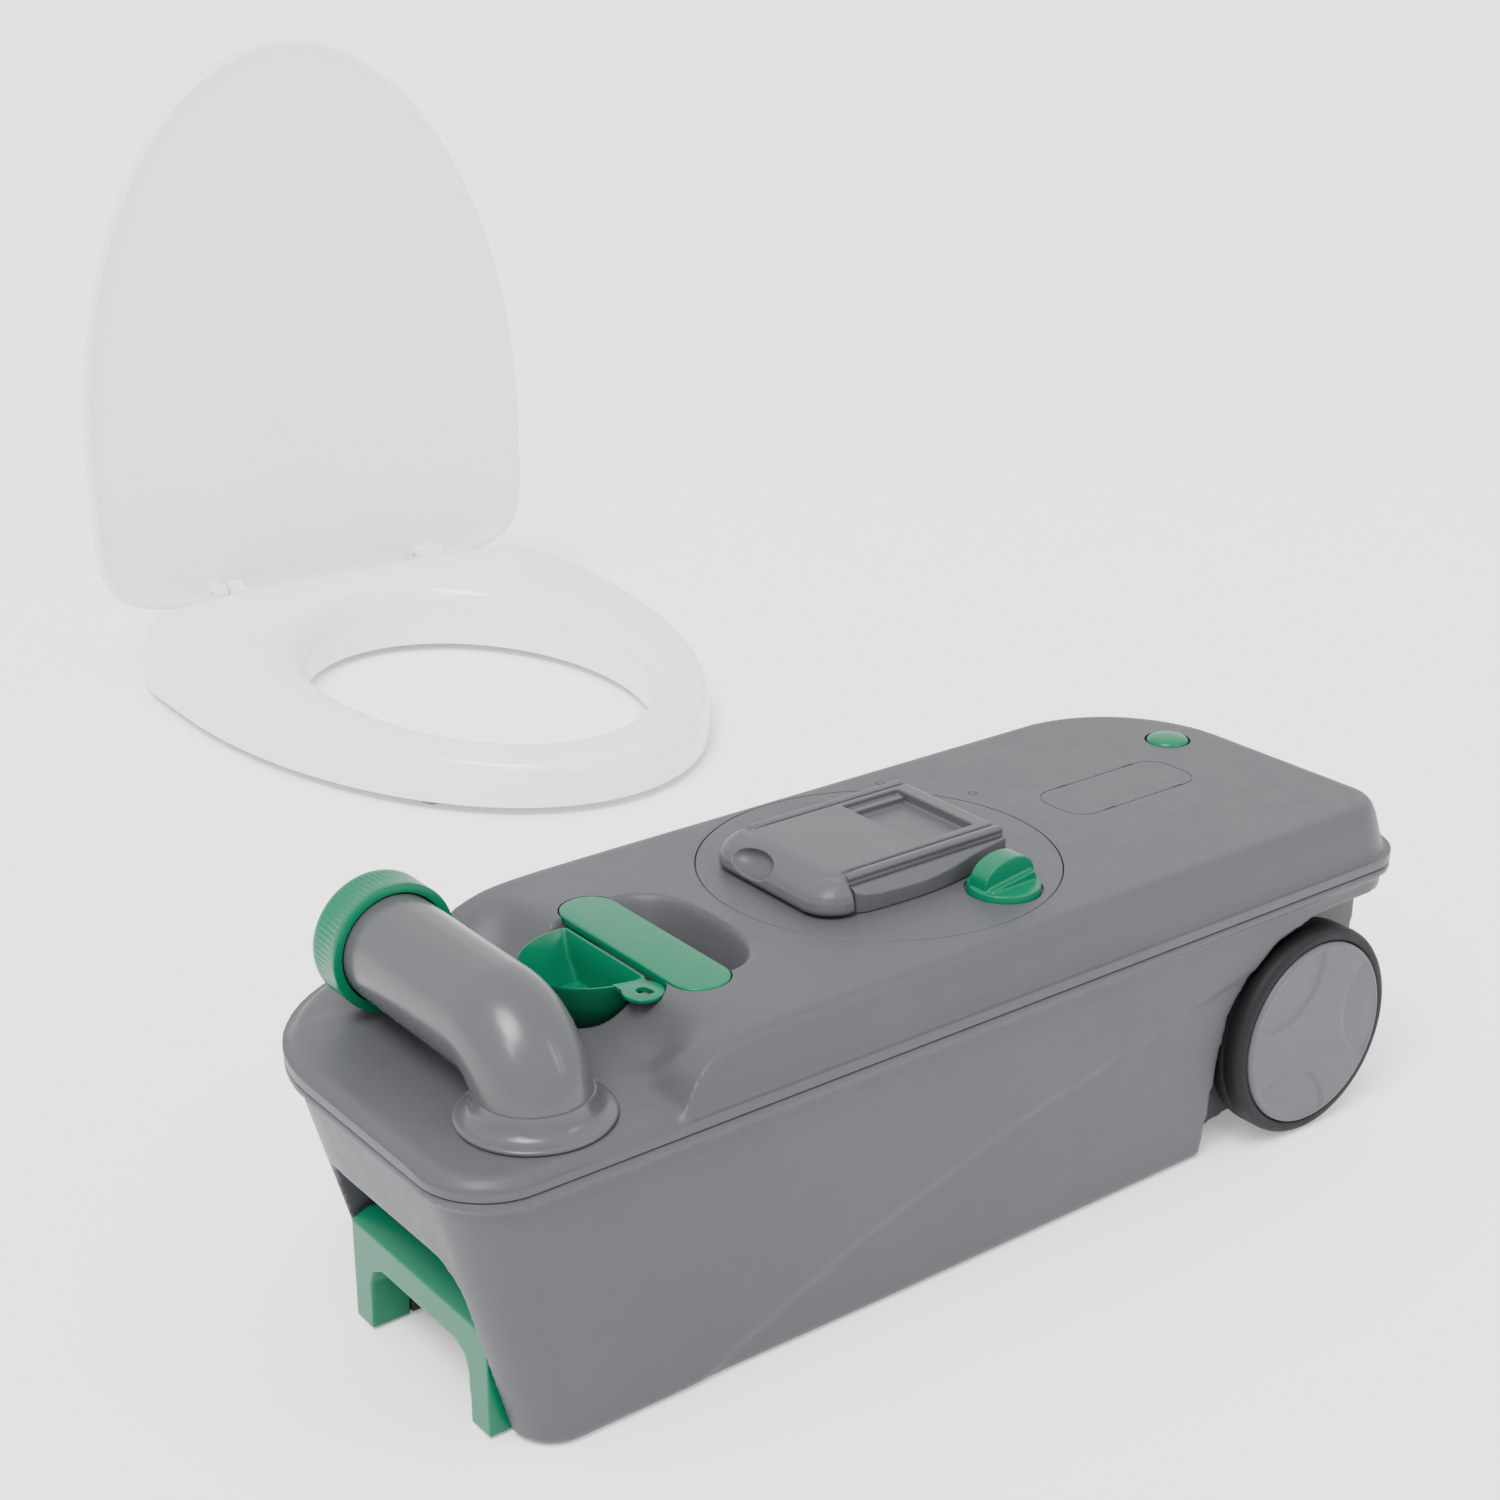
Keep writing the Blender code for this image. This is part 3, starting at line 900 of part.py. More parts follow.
clear_scene()
PARTS = collection("cassette_toilet_kit")
CUTTERS = collection("cutters_and_guides")
LOOK = {"grey": material("grey_plastic", GREY, 0.45), "dark": material("dark_plastic", DARK_GREY, 0.5),
        "green": material("green_plastic", GREEN, 0.3), "white": material("white_plastic", WHITE, 0.18),
        "black": material("tyre_black", BLACK, 0.6), "rubber": material("grey_rubber", (0.1, 0.1, 0.1), 0.7),
        "steel": material("steel", STEEL, 0.3, 1.0), "hub": material("hub_grey", (0.3, 0.3, 0.33), 0.4),
        "pale": material("pale_foam", PALE, 0.8)}
lower_shell()
upper_shell()
carry_grip()
measuring_cup()
mechanism_disc()
cover_rails()
sliding_cover()
blade_parts()
knob_parts()
vent_parts()
float_parts()
spout_parts()
pull_handle()
wheel_parts(-1, "near")
wheel_parts(1, "far")
seat_ring()
seat_lid()
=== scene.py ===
"""Looks for the cassette toilet kit: shells, spout, cover, handle, wheels and seat."""

import json
import math

import bmesh
import bpy
import numpy as np
from mathutils import Matrix, Vector


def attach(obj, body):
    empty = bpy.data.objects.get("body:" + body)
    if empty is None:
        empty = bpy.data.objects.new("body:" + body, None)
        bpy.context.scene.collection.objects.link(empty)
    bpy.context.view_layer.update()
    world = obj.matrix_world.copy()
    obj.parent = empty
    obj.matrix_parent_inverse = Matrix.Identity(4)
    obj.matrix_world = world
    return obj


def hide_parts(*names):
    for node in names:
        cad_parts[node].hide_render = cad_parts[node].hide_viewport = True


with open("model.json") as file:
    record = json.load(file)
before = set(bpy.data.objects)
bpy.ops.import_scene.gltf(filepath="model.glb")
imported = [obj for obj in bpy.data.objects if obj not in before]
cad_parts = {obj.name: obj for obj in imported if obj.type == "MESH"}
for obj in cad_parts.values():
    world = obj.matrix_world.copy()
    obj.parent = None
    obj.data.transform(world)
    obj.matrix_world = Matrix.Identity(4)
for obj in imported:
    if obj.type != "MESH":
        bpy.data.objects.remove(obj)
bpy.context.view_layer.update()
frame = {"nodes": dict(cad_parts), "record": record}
MM = 0.001


def mm(*values):
    """Lengths given in mm, in metres."""
    return tuple(value * MM for value in values)


# ---- tank and seat, as the CAD frame has them
RIM_FRONT, RIM_REAR, RIM_HALF = mm(-341, 305, 122)
CORNER_RADII = mm(38, 35, 35, 100)        # near front, near rear, far rear, far front
DECK_RADII = mm(45, 38, 97, 100)          # the same order, for the raised deck
RIM_SEAM, RIM_BOTTOM = mm(153.5, 148.5)
BASE_FRONT_INSET, BASE_SIDE_INSET, BASE_REAR_INSET, BODY_TOP_INSET = mm(44, 15, 20, 4)
DECK_Z, FRONT_DECK_Z = mm(189, 162)
SEAM = 0.15 * MM                          # half the gap between the two shells
WHEEL_X, WHEEL_Z, WELL_Y, STUB_BORE = mm(225, 64.2, 88, 5.3)
DISC_Y, DISC_RADIUS, DISC_BOTTOM, SHELF_RADIUS = mm(4, 100.5, 184, 95)
INLET_X, INLET_Y, INLET_RADIUS = mm(15, 11.5, 38)
KNOB_X, KNOB_Y, KNOB_RADIUS = mm(30, -64, 20.5)
VENT_X, VENT_Y, VENT_RADIUS = mm(260, 36.5, 12.8)
COVER_X0, COVER_NOSE_X, COVER_X1, COVER_Y = mm(-77, -56, 57, 8)
COVER_HALF, RUNNER_HALF, COVER_BOTTOM, COVER_TOP, RAIL_TOP = mm(52, 44, 191.4, 209, 203)
GRIP_X0, GRIP_X1, GRIP_HALF = mm(-176, -144, 64.5)
RECESS_FLOOR = 150 * MM
CUP_X, CUP_Y, CUP_RADIUS, CUP_DEPTH = mm(-178, 7, 37, 46)
CUP_TOP, CUP_BOTTOM, CUP_WALL = mm(186, 154, 1.8)
EAR_X, EAR_Y, EAR_RADIUS, EAR_THICK = mm(-187.5, -40, 10.8, 2.2)
SPOUT_X, SPOUT_Y, SPOUT_Z, SPOUT_RADIUS, SPOUT_BEND = mm(-273, -75, 198.5, 28.3, 34)
SPOUT_END_Y, CAP_RADIUS, CAP_Y0, CAP_Y1 = mm(66, 34.3, 52, 75.5)
HANDLE_Y, HANDLE_HALF, LEG_WIDTH = mm(-15, 65, 17)
HANDLE_FRONT, HANDLE_BACK = mm(-308, -286)
HANDLE_TOP, BAR_HEIGHT = mm(66, 25)
NICHE_HALF, NICHE_X, NICHE_TOP = mm(67.5, -244, 102)
ARM_OFFSET, CHANNEL_END = mm(52, 110)
SEAT_PLACE, SEAT_TURN = (200 * MM, 780 * MM, 0), math.radians(-1.9)
SEAT_HALF_WIDTH, SEAT_HALF_LENGTH, SEAT_WIDEST = 209 * MM, 250 * MM, 0.28
SEAT_BOTTOM, SEAT_BACK_TOP, SEAT_NOSE_TOP = mm(7, 68, 42)
OPENING_HALF_WIDTH, OPENING_HALF_LENGTH, OPENING_SHIFT = mm(133, 188, -10)
HINGE_Y, HINGE_Z, HINGE_X = mm(261, 60, 95)
LID_LEAN, LID_HALF_WIDTH, LID_HALF_LENGTH, LID_STANDOFF = math.radians(1), 214 * MM, 245 * MM, 10 * MM

# ---- how fine the meshes are, in mm, and the light
COARSE_GRID, FINE_GRID, FINE_VOXEL = 3.0, 1.25, 1.6
WORLD_STRENGTH, FLOOR_GLOW = 1.65, 0.25
SUN_STRENGTH, SUN_ANGLE, SUN_DIRECTION = 3.5, math.radians(28), (0.42, 0.22, -1.0)
SOFT_BOX_POWER = 8

# ---- camera that matches the photograph's view
CAMERA_PLACE = (-0.7998, -0.9363, 0.7358)
CAMERA_TURN = (math.radians(69.69), math.radians(-0.14), math.radians(-37.94))
CAMERA_LENS, CAMERA_SHIFT = 59.04, (-0.02335, -0.02958)


# ---- shape helpers
def finish_shape(shape, name):
    """Turns a bmesh into a mesh, with its faces pointing outward."""
    bmesh.ops.recalc_face_normals(shape, faces=shape.faces)
    mesh = bpy.data.meshes.new(name)
    shape.to_mesh(mesh)
    shape.free()
    return mesh


def box(name, low, high):
    shape = bmesh.new()
    bmesh.ops.create_cube(shape, size=1.0)
    bmesh.ops.scale(shape, vec=Vector(high) - Vector(low), verts=shape.verts)
    bmesh.ops.translate(shape, vec=(Vector(high) + Vector(low)) / 2, verts=shape.verts)
    return finish_shape(shape, name)


def cylinder(name, radius, start, end, segments=96, end_radius=None):
    axis = Vector(end) - Vector(start)
    other = radius if end_radius is None else end_radius
    shape = bmesh.new()
    bmesh.ops.create_cone(shape, cap_ends=True, segments=segments, radius1=radius, radius2=other,
        depth=axis.length)
    place = Matrix.Translation((Vector(start) + Vector(end)) / 2) @ axis.to_track_quat("Z",
        "Y").to_matrix().to_4x4()
    bmesh.ops.transform(shape, matrix=place, verts=shape.verts)
    return finish_shape(shape, name)


def ellipsoid(name, centre, size):
    shape = bmesh.new()
    bmesh.ops.create_uvsphere(shape, u_segments=48, v_segments=32, radius=1.0)
    bmesh.ops.scale(shape, vec=size, verts=shape.verts)
    bmesh.ops.translate(shape, vec=centre, verts=shape.verts)
    return finish_shape(shape, name)


def loft(name, sections, closed=False):
    """Joins sections of equal point count with quads, and caps the ends unless the stack is closed."""
    shape = bmesh.new()
    rows = [[shape.verts.new(point) for point in section] for section in sections]
    count = len(rows[0])
    pairs = list(zip(rows, rows[1:]))
    if closed:
        pairs.append((rows[-1], rows[0]))
    for low, high in pairs:
        for i in range(count):
            j = (i + 1) % count
            shape.faces.new((low[i], low[j], high[j], high[i]))
    if not closed:
        shape.faces.new(rows[0][::-1])
        shape.faces.new(rows[-1])
    return finish_shape(shape, name)


def turned(name, profile, start, towards, segments=128, wave=None):
    """Turns (radius, height) points about a line; wave(angle, radius, height) is added to the radius."""
    axis = Vector(towards) - Vector(start)
    place = Matrix.Translation(start) @ axis.to_track_quat("Z", "Y").to_matrix().to_4x4()
    open_ends = profile[0][0] == 0 and profile[-1][0] == 0
    inner = profile[1:-1] if open_ends else profile
    rings = []
    for radius, height in inner:
        row = []
        for k in range(segments):
            angle = 2 * math.pi * k / segments
            reach = radius + (wave(angle, radius, height) if wave else 0.0)
            row.append(place @ Vector((reach * math.cos(angle), reach * math.sin(angle), height)))
        rings.append(row)
    return loft(name, rings, closed=not open_ends)


def extruded(name, outline, offset, plane="XY"):
    """A flat outline carried from one offset to the other, square to its plane."""
    low, high = offset
    lift = {"XY": lambda p, d: (p[0], p[1], d), "XZ": lambda p, d: (p[0], d, p[1]), "YZ": lambda p,
        d: (d, p[0], p[1])}[plane]
    return loft(name, [[lift(p, low) for p in outline], [lift(p, high) for p in outline]])


def rounded(x0, x1, y0, y1, radii, steps=12):
    """A rectangle with rounded corners: low-x low-y, high-x low-y, high-x high-y, low-x high-y."""
    corners = ((x0, y0, 180), (x1, y0, 270), (x1, y1, 0), (x0, y1, 90))
    signs = ((1, 1), (-1, 1), (-1, -1), (1, -1))
    points = []
    for (x, y, start), (sx, sy), radius in zip(corners, signs, radii):
        for k in range(steps + 1):
            angle = math.radians(start + 90 * k / steps)
            points.append((x + sx * radius + radius * math.cos(angle),
                y + sy * radius + radius * math.sin(angle)))
    return points


def cushion(name, outline_at, z0, z1, radius_low, radius_high, steps=5):
    """Stacks outline_at(inset) between z0 and z1, with rounded lower and upper edges."""
    levels = []
    for k in range(steps + 1):
        angle = math.pi / 2 * k / steps
        levels.append((z0 + radius_low * (1 - math.cos(angle)), radius_low * (1 - math.sin(angle))))
    for k in range(steps + 1):
        angle = math.pi / 2 * k / steps
        levels.append((z1 - radius_high * (1 - math.sin(angle)), radius_high * (1 - math.cos(angle))))
    return loft(name, [[(x, y, z) for x, y in outline_at(inset)] for z, inset in levels])


def add_object(name, data):
    made = bpy.data.objects.new(name, data)
    bpy.context.scene.collection.objects.link(made)
    return made


def evaluated(mesh, *settings):
    """Applies modifiers, each as (type, values), to a mesh and returns the result."""
    holder = add_object("holder", mesh)
    tools = []
    for kind, values in settings:
        modifier = holder.modifiers.new(kind, kind)
        for key, value in values.items():
            if key == "tool":
                tools.append(add_object("tool", value))
                modifier.object = tools[-1]
            else:
                setattr(modifier, key, value)
    bpy.context.view_layer.update()
    result = bpy.data.meshes.new_from_object(holder.evaluated_get(bpy.context.evaluated_depsgraph_get()))
    for item in tools + [holder]:
        bpy.data.objects.remove(item, do_unlink=True)
    result.materials.clear()
    return result


def combine(mesh, operation, *tools, solver="EXACT"):
    for tool in tools:
        mesh = evaluated(mesh, ("BOOLEAN", {"operation": operation, "solver": solver, "tool": tool}))
    return mesh


def cut(mesh, *tools, solver="EXACT"):
    return combine(mesh, "DIFFERENCE", *tools, solver=solver)


def join(mesh, *tools, solver="EXACT"):
    return combine(mesh, "UNION", *tools, solver=solver)


def moulded(mesh, voxel, rounds, keep=1.0):
    """Softens every edge as a moulding has it: fine even faces, then smoothing, then fewer faces."""
    steps = [("REMESH", {"mode": "VOXEL", "voxel_size": voxel}),
        ("SMOOTH", {"factor": 0.5, "iterations": rounds})]
    if keep < 1.0:
        steps.append(("DECIMATE", {"ratio": keep}))
    return evaluated(mesh, *steps)


def scaled(points):
    """Points given in mm, in metres."""
    return [mm(*point) for point in points]


def piece(name, mesh, look, body, slot_name, *nodes, sharp=40):
    """Adds a finished mesh as a piece that rides on a body and stands for these CAD nodes."""
    mesh.name = name
    mesh.shade_smooth()
    if sharp:
        mesh.set_sharp_from_angle(angle=math.radians(sharp))
    made = add_object(name, mesh)
    mesh.materials.append(look)
    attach(made, body)
    if nodes:
        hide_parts(*nodes)
    return made


# ---- materials
def plastic(name, colour, roughness, grain=1400.0, bump=0.06, mottle=0.04, coat=0.0, metallic=0.0,
    gloss=0.22):
    """A moulded surface: fine grain as bump, a little mottling in colour and gloss."""
    made = bpy.data.materials.new(name)
    made.use_nodes = True
    tree = made.node_tree
    shader = tree.nodes["Principled BSDF"]
    shader.inputs["Metallic"].default_value = metallic
    shader.inputs["Specular IOR Level"].default_value = gloss
    shader.inputs["Coat Weight"].default_value = coat
    shader.inputs["Coat Roughness"].default_value = 0.12
    place = tree.nodes.new("ShaderNodeTexCoord")

    def noise(scale, detail):
        node = tree.nodes.new("ShaderNodeTexNoise")
        node.inputs["Scale"].default_value = scale
        node.inputs["Detail"].default_value = detail
        tree.links.new(place.outputs["Object"], node.inputs["Vector"])
        return node

    def ramp(source, low, high):
        node = tree.nodes.new("ShaderNodeMapRange")
        node.inputs["From Min"].default_value = 0.3
        node.inputs["From Max"].default_value = 0.7
        node.inputs["To Min"].default_value = low
        node.inputs["To Max"].default_value = high
        tree.links.new(source.outputs["Fac"], node.inputs["Value"])
        return node

    cloud = noise(14.0, 4.0)
    blend = tree.nodes.new("ShaderNodeMix")
    blend.data_type = "RGBA"
    blend.inputs["A"].default_value = (*[value * (1 - mottle) for value in colour], 1.0)
    blend.inputs["B"].default_value = (*[min(1.0, value * (1 + mottle)) for value in colour], 1.0)
    tree.links.new(ramp(cloud, 0.0, 1.0).outputs["Result"], blend.inputs["Factor"])
    tree.links.new(blend.outputs["Result"], shader.inputs["Base Color"])
    tree.links.new(ramp(noise(60.0, 3.0), roughness * 0.92, min(1.0, roughness * 1.08)).outputs["Result"],
        shader.inputs["Roughness"])
    height = tree.nodes.new("ShaderNodeBump")
    height.inputs["Strength"].default_value = bump
    height.inputs["Distance"].default_value = 0.2 * MM
    tree.links.new(noise(grain, 2.0).outputs["Fac"], height.inputs["Height"])
    tree.links.new(height.outputs["Normal"], shader.inputs["Normal"])
    return made


LOOK = {
    "shell": plastic("grey_polyethylene", (0.062, 0.063, 0.069), 0.42, 1300.0, 0.16, 0.03),
    "cover": plastic("grey_cover_plastic", (0.070, 0.071, 0.077), 0.36, 1800.0, 0.08, 0.02),
    "spout": plastic("grey_spout_plastic", (0.062, 0.063, 0.068), 0.25, 1800.0, 0.05, 0.02, gloss=0.4),
    "dark": plastic("dark_plastic", (0.020, 0.021, 0.023), 0.5, 1200.0, 0.1, 0.04),
    "green": plastic("green_plastic", (0.0002, 0.118, 0.056), 0.26, 1600.0, 0.04, 0.03, gloss=0.25),
    "white": plastic("white_seat_plastic", (0.86, 0.86, 0.85), 0.16, 900.0, 0.01, 0.01, coat=0.3, gloss=0.5),
    "hub": plastic("hub_plastic", (0.080, 0.081, 0.092), 0.42, 1500.0, 0.1, 0.03),
    "tyre": plastic("tyre_plastic", (0.006, 0.006, 0.007), 0.6, 1500.0, 0.25, 0.08),
    "rubber": plastic("seal_rubber", (0.06, 0.06, 0.062), 0.75, 1500.0, 0.2, 0.08),
    "steel": plastic("steel", (0.56, 0.56, 0.57), 0.28, 900.0, 0.05, 0.03, metallic=1.0),
    "foam": plastic("float_plastic", (0.55, 0.55, 0.53), 0.6, 900.0, 0.1, 0.04),
    "buffer": plastic("buffer_rubber", (0.30, 0.30, 0.31), 0.6, 1200.0, 0.1, 0.05),
}


# ---- tank shells
def tank_outline(front_inset, side_inset, rear_inset, steps=14):
    """The rim's outline moved in, its corner radii shrunk to suit."""
    x0 = RIM_FRONT + front_inset
    radii = [max(radius - side_inset, 8 * MM) for radius in CORNER_RADII]
    return rounded(x0, RIM_REAR - rear_inset, -RIM_HALF + side_inset, RIM_HALF - side_inset, radii, steps)


def rim_depth(x, y, radii=CORNER_RADII):
    """How far each grid point lies inside the rim outline, as a numpy array."""
    half_x, half_y = (RIM_REAR - RIM_FRONT) / 2, RIM_HALF
    px, py = x - (RIM_REAR + RIM_FRONT) / 2, y
    near_front, near_rear, far_rear, far_front = radii
    radius = np.where(px < 0, np.where(py < 0, near_front, far_front), np.where(py < 0, near_rear, far_rear))
    qx, qy = np.abs(px) - half_x + radius, np.abs(py) - half_y + radius
    outside = np.hypot(np.maximum(qx, 0), np.maximum(qy, 0))
    return -(np.minimum(np.maximum(qx, qy), 0) + outside - radius)


def soft_min(a, b, softness):
    """The lower of two heights, with a rounded meeting of that size."""
    share = np.clip(0.5 + 0.5 * (b - a) / softness, 0, 1)
    return b * (1 - share) + a * share - softness * share * (1 - share)


def soft_max(a, b, softness):
    return -soft_min(-a, -b, softness)


def step_up(value, low, high):
    share = np.clip((value - low) / (high - low), 0, 1)
    return share * share * (3 - 2 * share)


def through(x, points):
    """A smooth height along x through listed points."""
    xs = np.array([p[0] for p in points]) * MM
    zs = np.array([p[1] for p in points]) * MM
    fine = np.linspace(xs[0], xs[-1], 400)
    heights = np.interp(fine, xs, zs)
    width = 17
    kernel = np.hanning(width + 2)[1:-1]
    padded = np.concatenate([np.full(width // 2, heights[0]), heights, np.full(width // 2, heights[-1])])
    return np.interp(x, fine, np.convolve(padded, kernel / kernel.sum(), "valid"))


# heights in mm along x of the step from the front deck to the raised deck, at the sides and in the middle
STEP_SIDE = [(-250, 150), (-226, 151), (-221, 158), (-216, 166), (-209, 175.5), (-198, 182), (-186, 186.5),
    (-172, 189.5), (-155, 191), (-100, 193), (310, 193)]
STEP_MIDDLE = [(-250, 160), (-226, 161), (-214, 162), (-206, 163.5), (-199, 167), (-193, 173), (-188, 181),
    (-183, 188), (-177, 191), (-160, 193), (310, 193)]


def deck_height(x, y):
    """Height of the deck's outside over its plan."""
    depth = rim_depth(x, y)
    top_depth = rim_depth(x, y, DECK_RADII)
    shoulder = np.interp(top_depth, np.array([0, 2.2, 3.0, 4.2, 6.2, 9.0, 11.5, 14.0, 18.0, 30.0]) * MM,
                         np.array([158.3, 158.5, 159.2, 163.0, 170.5, 180.5, 186.0, 188.4, 189.0,
                         189.0]) * MM)
    low_shoulder = np.interp(depth, np.array([0, 3.4, 4.4, 5.6, 7.4, 10.0, 30.0]) * MM,
                             np.array([158.0, 158.2, 158.9, 160.6, 161.6, 162.0, 162.0]) * MM)
    middle = step_up(RIM_HALF - 22 * MM - np.abs(y), 0.0, 34 * MM)
    climb = through(x, STEP_SIDE) * (1 - middle) + through(x, STEP_MIDDLE) * middle
    height = soft_min(shoulder, climb, 5 * MM)
    height = soft_max(height, low_shoulder, 5 * MM)
    return np.minimum(np.maximum(height, RIM_SEAM + 4.4 * MM), DECK_Z)


def well_height(x, y):
    """Floor and walls of the hand recess and of the cup's well, high above everything elsewhere."""
    px, py = np.maximum(np.abs(x + 149 * MM) - 3 * MM, 0), np.abs(y)
    oval = (((px) / (35 * MM)) ** 2.4 + (py / (56 * MM)) ** 2.4) ** (1 / 2.4)
    bowl = RECESS_FLOOR + 75 * MM * np.maximum(oval - 0.55, 0) ** 1.15 * 1.55
    cup = np.hypot((x - CUP_X) * CUP_RADIUS / CUP_DEPTH, y - CUP_Y)
    well = RECESS_FLOOR + np.maximum(cup - 32 * MM, 0) * 3.6
    return soft_min(bowl, well, 3 * MM)


def heightfield(name, spacing):
    """A solid block whose top follows the deck and the wells, as an even grid."""
    margin = 4 * MM
    xs = np.arange(RIM_FRONT - margin, RIM_REAR + margin + spacing, spacing)
    ys = np.arange(-RIM_HALF - margin, RIM_HALF + margin + spacing, spacing)
    gx, gy = np.meshgrid(xs, ys, indexing="ij")
    gz = soft_min(deck_height(gx, gy), well_height(gx, gy), 5 * MM)
    gz = np.where(np.hypot(gx, gy - DISC_Y) < DISC_RADIUS + 6 * MM, np.minimum(gz, DECK_Z), gz)
    rows, columns = gx.shape
    top = np.stack([gx, gy, gz], -1).reshape(-1, 3)
    base = np.stack([gx, gy, np.full_like(gz, 141 * MM)], -1).reshape(-1, 3)
    index = np.arange(rows * columns).reshape(rows, columns)
    a, b, c, d = index[:-1, :-1].ravel(), index[1:, :-1].ravel(), index[1:, 1:].ravel(), index[:-1,
        1:].ravel()
    shift = rows * columns
    faces = np.concatenate([np.stack([a, b, c, d], 1), np.stack([d, c, b, a], 1) + shift])
    edge = np.concatenate([index[:-1, 0], index[-1, :-1], index[:0:-1, -1], index[0, :0:-1]])
    after = np.roll(edge, -1)
    sides = np.stack([after, edge, edge + shift, after + shift], 1)
    mesh = bpy.data.meshes.new(name)
    mesh.from_pydata(np.concatenate([top, base]).tolist(), [], np.concatenate([faces, sides]).tolist())
    mesh.update()
    return mesh


def groove_loop(name, x0, x1, y0, y1, radius, width, z0, z1):
    """A thin rounded-rectangle ring, to engrave an outline."""
    rings = []
    for inset, z in ((0, z0), (0, z1), (width, z1), (width, z0)):
        outline = rounded(x0 + inset, x1 - inset, y0 + inset, y1 - inset, [radius - inset] * 4, 8)
        rings.append([(x, y, z) for x, y in outline])
    return loft(name, rings, closed=True)


def upper_shell():
    """The deck moulding: the height field cut to the rim's outline, hollow below, with seats and marks."""
    spacing = FINE_GRID * MM
    block = heightfield("deck_field", spacing)
    band = cushion("rim_band", lambda inset: tank_outline(inset, inset, inset), RIM_SEAM + SEAM, 205 * MM,
        0.7 * MM, 0.5 * MM, 3)
    plug = extruded("plug", tank_outline(10 * MM, 10 * MM, 10 * MM), (145.5 * MM, 156 * MM))
    plan = join(band, plug)
    shell = combine(block, "INTERSECT", plan, solver="MANIFOLD")
    hollow = cushion("hollow", lambda inset: rounded(*mm(-104, 286, -99, 99), mm(14, 14, 84, 14)), 130 * MM,
        177.5 * MM,
                     1 * MM, 1 * MM, 2)
    pocket = cylinder("disc_pocket", DISC_RADIUS + 0.45 * MM, (0, DISC_Y, DISC_BOTTOM - 0.3 * MM),
        (0, DISC_Y, 200 * MM), 200)
    way_in = cylinder("disc_way", SHELF_RADIUS, (0, DISC_Y, 150 * MM), (0, DISC_Y, 200 * MM), 128)
    seat = cushion("grip_seat", lambda inset: rounded(GRIP_X0 - 0.7 * MM, GRIP_X1 + 0.7 * MM,
        -GRIP_HALF - 0.7 * MM, GRIP_HALF + 0.7 * MM,
                                                       [16.5 * MM] * 4, 14), DECK_Z - 4.8 * MM, 205 * MM,
                                                       0.5 * MM, 0.5 * MM, 2)
    ear_seat = cylinder("ear_seat", EAR_RADIUS + 0.8 * MM, (EAR_X, EAR_Y, CUP_TOP - EAR_THICK - 0.3 * MM),
        (EAR_X, EAR_Y, 205 * MM), 48)
    spout = cylinder("spout_hole", 27 * MM, (SPOUT_X, SPOUT_Y, 130 * MM), (SPOUT_X, SPOUT_Y, 175 * MM), 96)
    vent = cylinder("vent_hole", VENT_RADIUS + 1.4 * MM, (VENT_X, VENT_Y, 170 * MM),
        (VENT_X, VENT_Y, 200 * MM), 64)
    label = groove_loop("label_groove", *mm(129, 230, -20.5, 21, 14, 0.7), DECK_Z - 0.5 * MM,
        DECK_Z + 2 * MM)
    nibs = []
    for x, y in scaled(((150, -20.2), (205, -20.2), (150, 20.6), (205, 20.6))):
        nibs.append(box("nib", (x, y - 1 * MM, DECK_Z - 0.6 * MM),
            (x + 8 * MM, y + 1 * MM, DECK_Z + 2 * MM)))
    marks = []
    for x, y in scaled(((73, 90), (106, 45))):
        marks.append(groove_loop("lock_loop", x - 2.6 * MM, x + 2.6 * MM, y - 2.2 * MM, y + 2.2 * MM,
            1.2 * MM, 0.6 * MM, DECK_Z - 0.4 * MM, DECK_Z + 2 * MM))
    shell = cut(shell, hollow, way_in, pocket, seat, ear_seat, spout, vent, label, *nibs, *marks,
        solver="MANIFOLD")
    piece("deck_moulding", shell, LOOK["shell"], "tank", "grey_shell", "tank_upper_shell", sharp=38)


# the fold's course along both long sides, in mm: (x, z)
CREASE = [(-214, -2), (-157, 25), (-102, 48), (-50, 65), (-8, 78), (155, 111), (199, 117), (260, 130)]


def wall_level(z, extra=0.0):
    """One level of the body's drafted outside, with the shallow diagonal fold pressed into both sides."""
    share = z / RIM_BOTTOM
    insets = [base + (BODY_TOP_INSET - base) * share + extra for base in (BASE_FRONT_INSET, BASE_SIDE_INSET,
        BASE_REAR_INSET)]
    outline = tank_outline(*insets, steps=12)
    xs = [p[0] * MM for p in CREASE]
    zs = [p[1] * MM for p in CREASE]
    points = []
    dense = []
    for (x0, y0), (x1, y1) in zip(outline, outline[1:] + outline[:1]):
        parts = 40 if abs(x1 - x0) > 0.2 else 1
        dense += [(x0 + (x1 - x0) * k / parts, y0 + (y1 - y0) * k / parts) for k in range(parts)]
    for x, y in dense:
        below = float(np.interp(x, xs, zs)) - z
        press = 0.0
        if xs[0] - 20 * MM < x < xs[-1] and below > 0:
            press = 1.3 * MM * min(1.0, below / (1.6 * MM)) * max(0.0, 1 - below / (55 * MM))
        points.append((x, y - math.copysign(press, y), z))
    return points


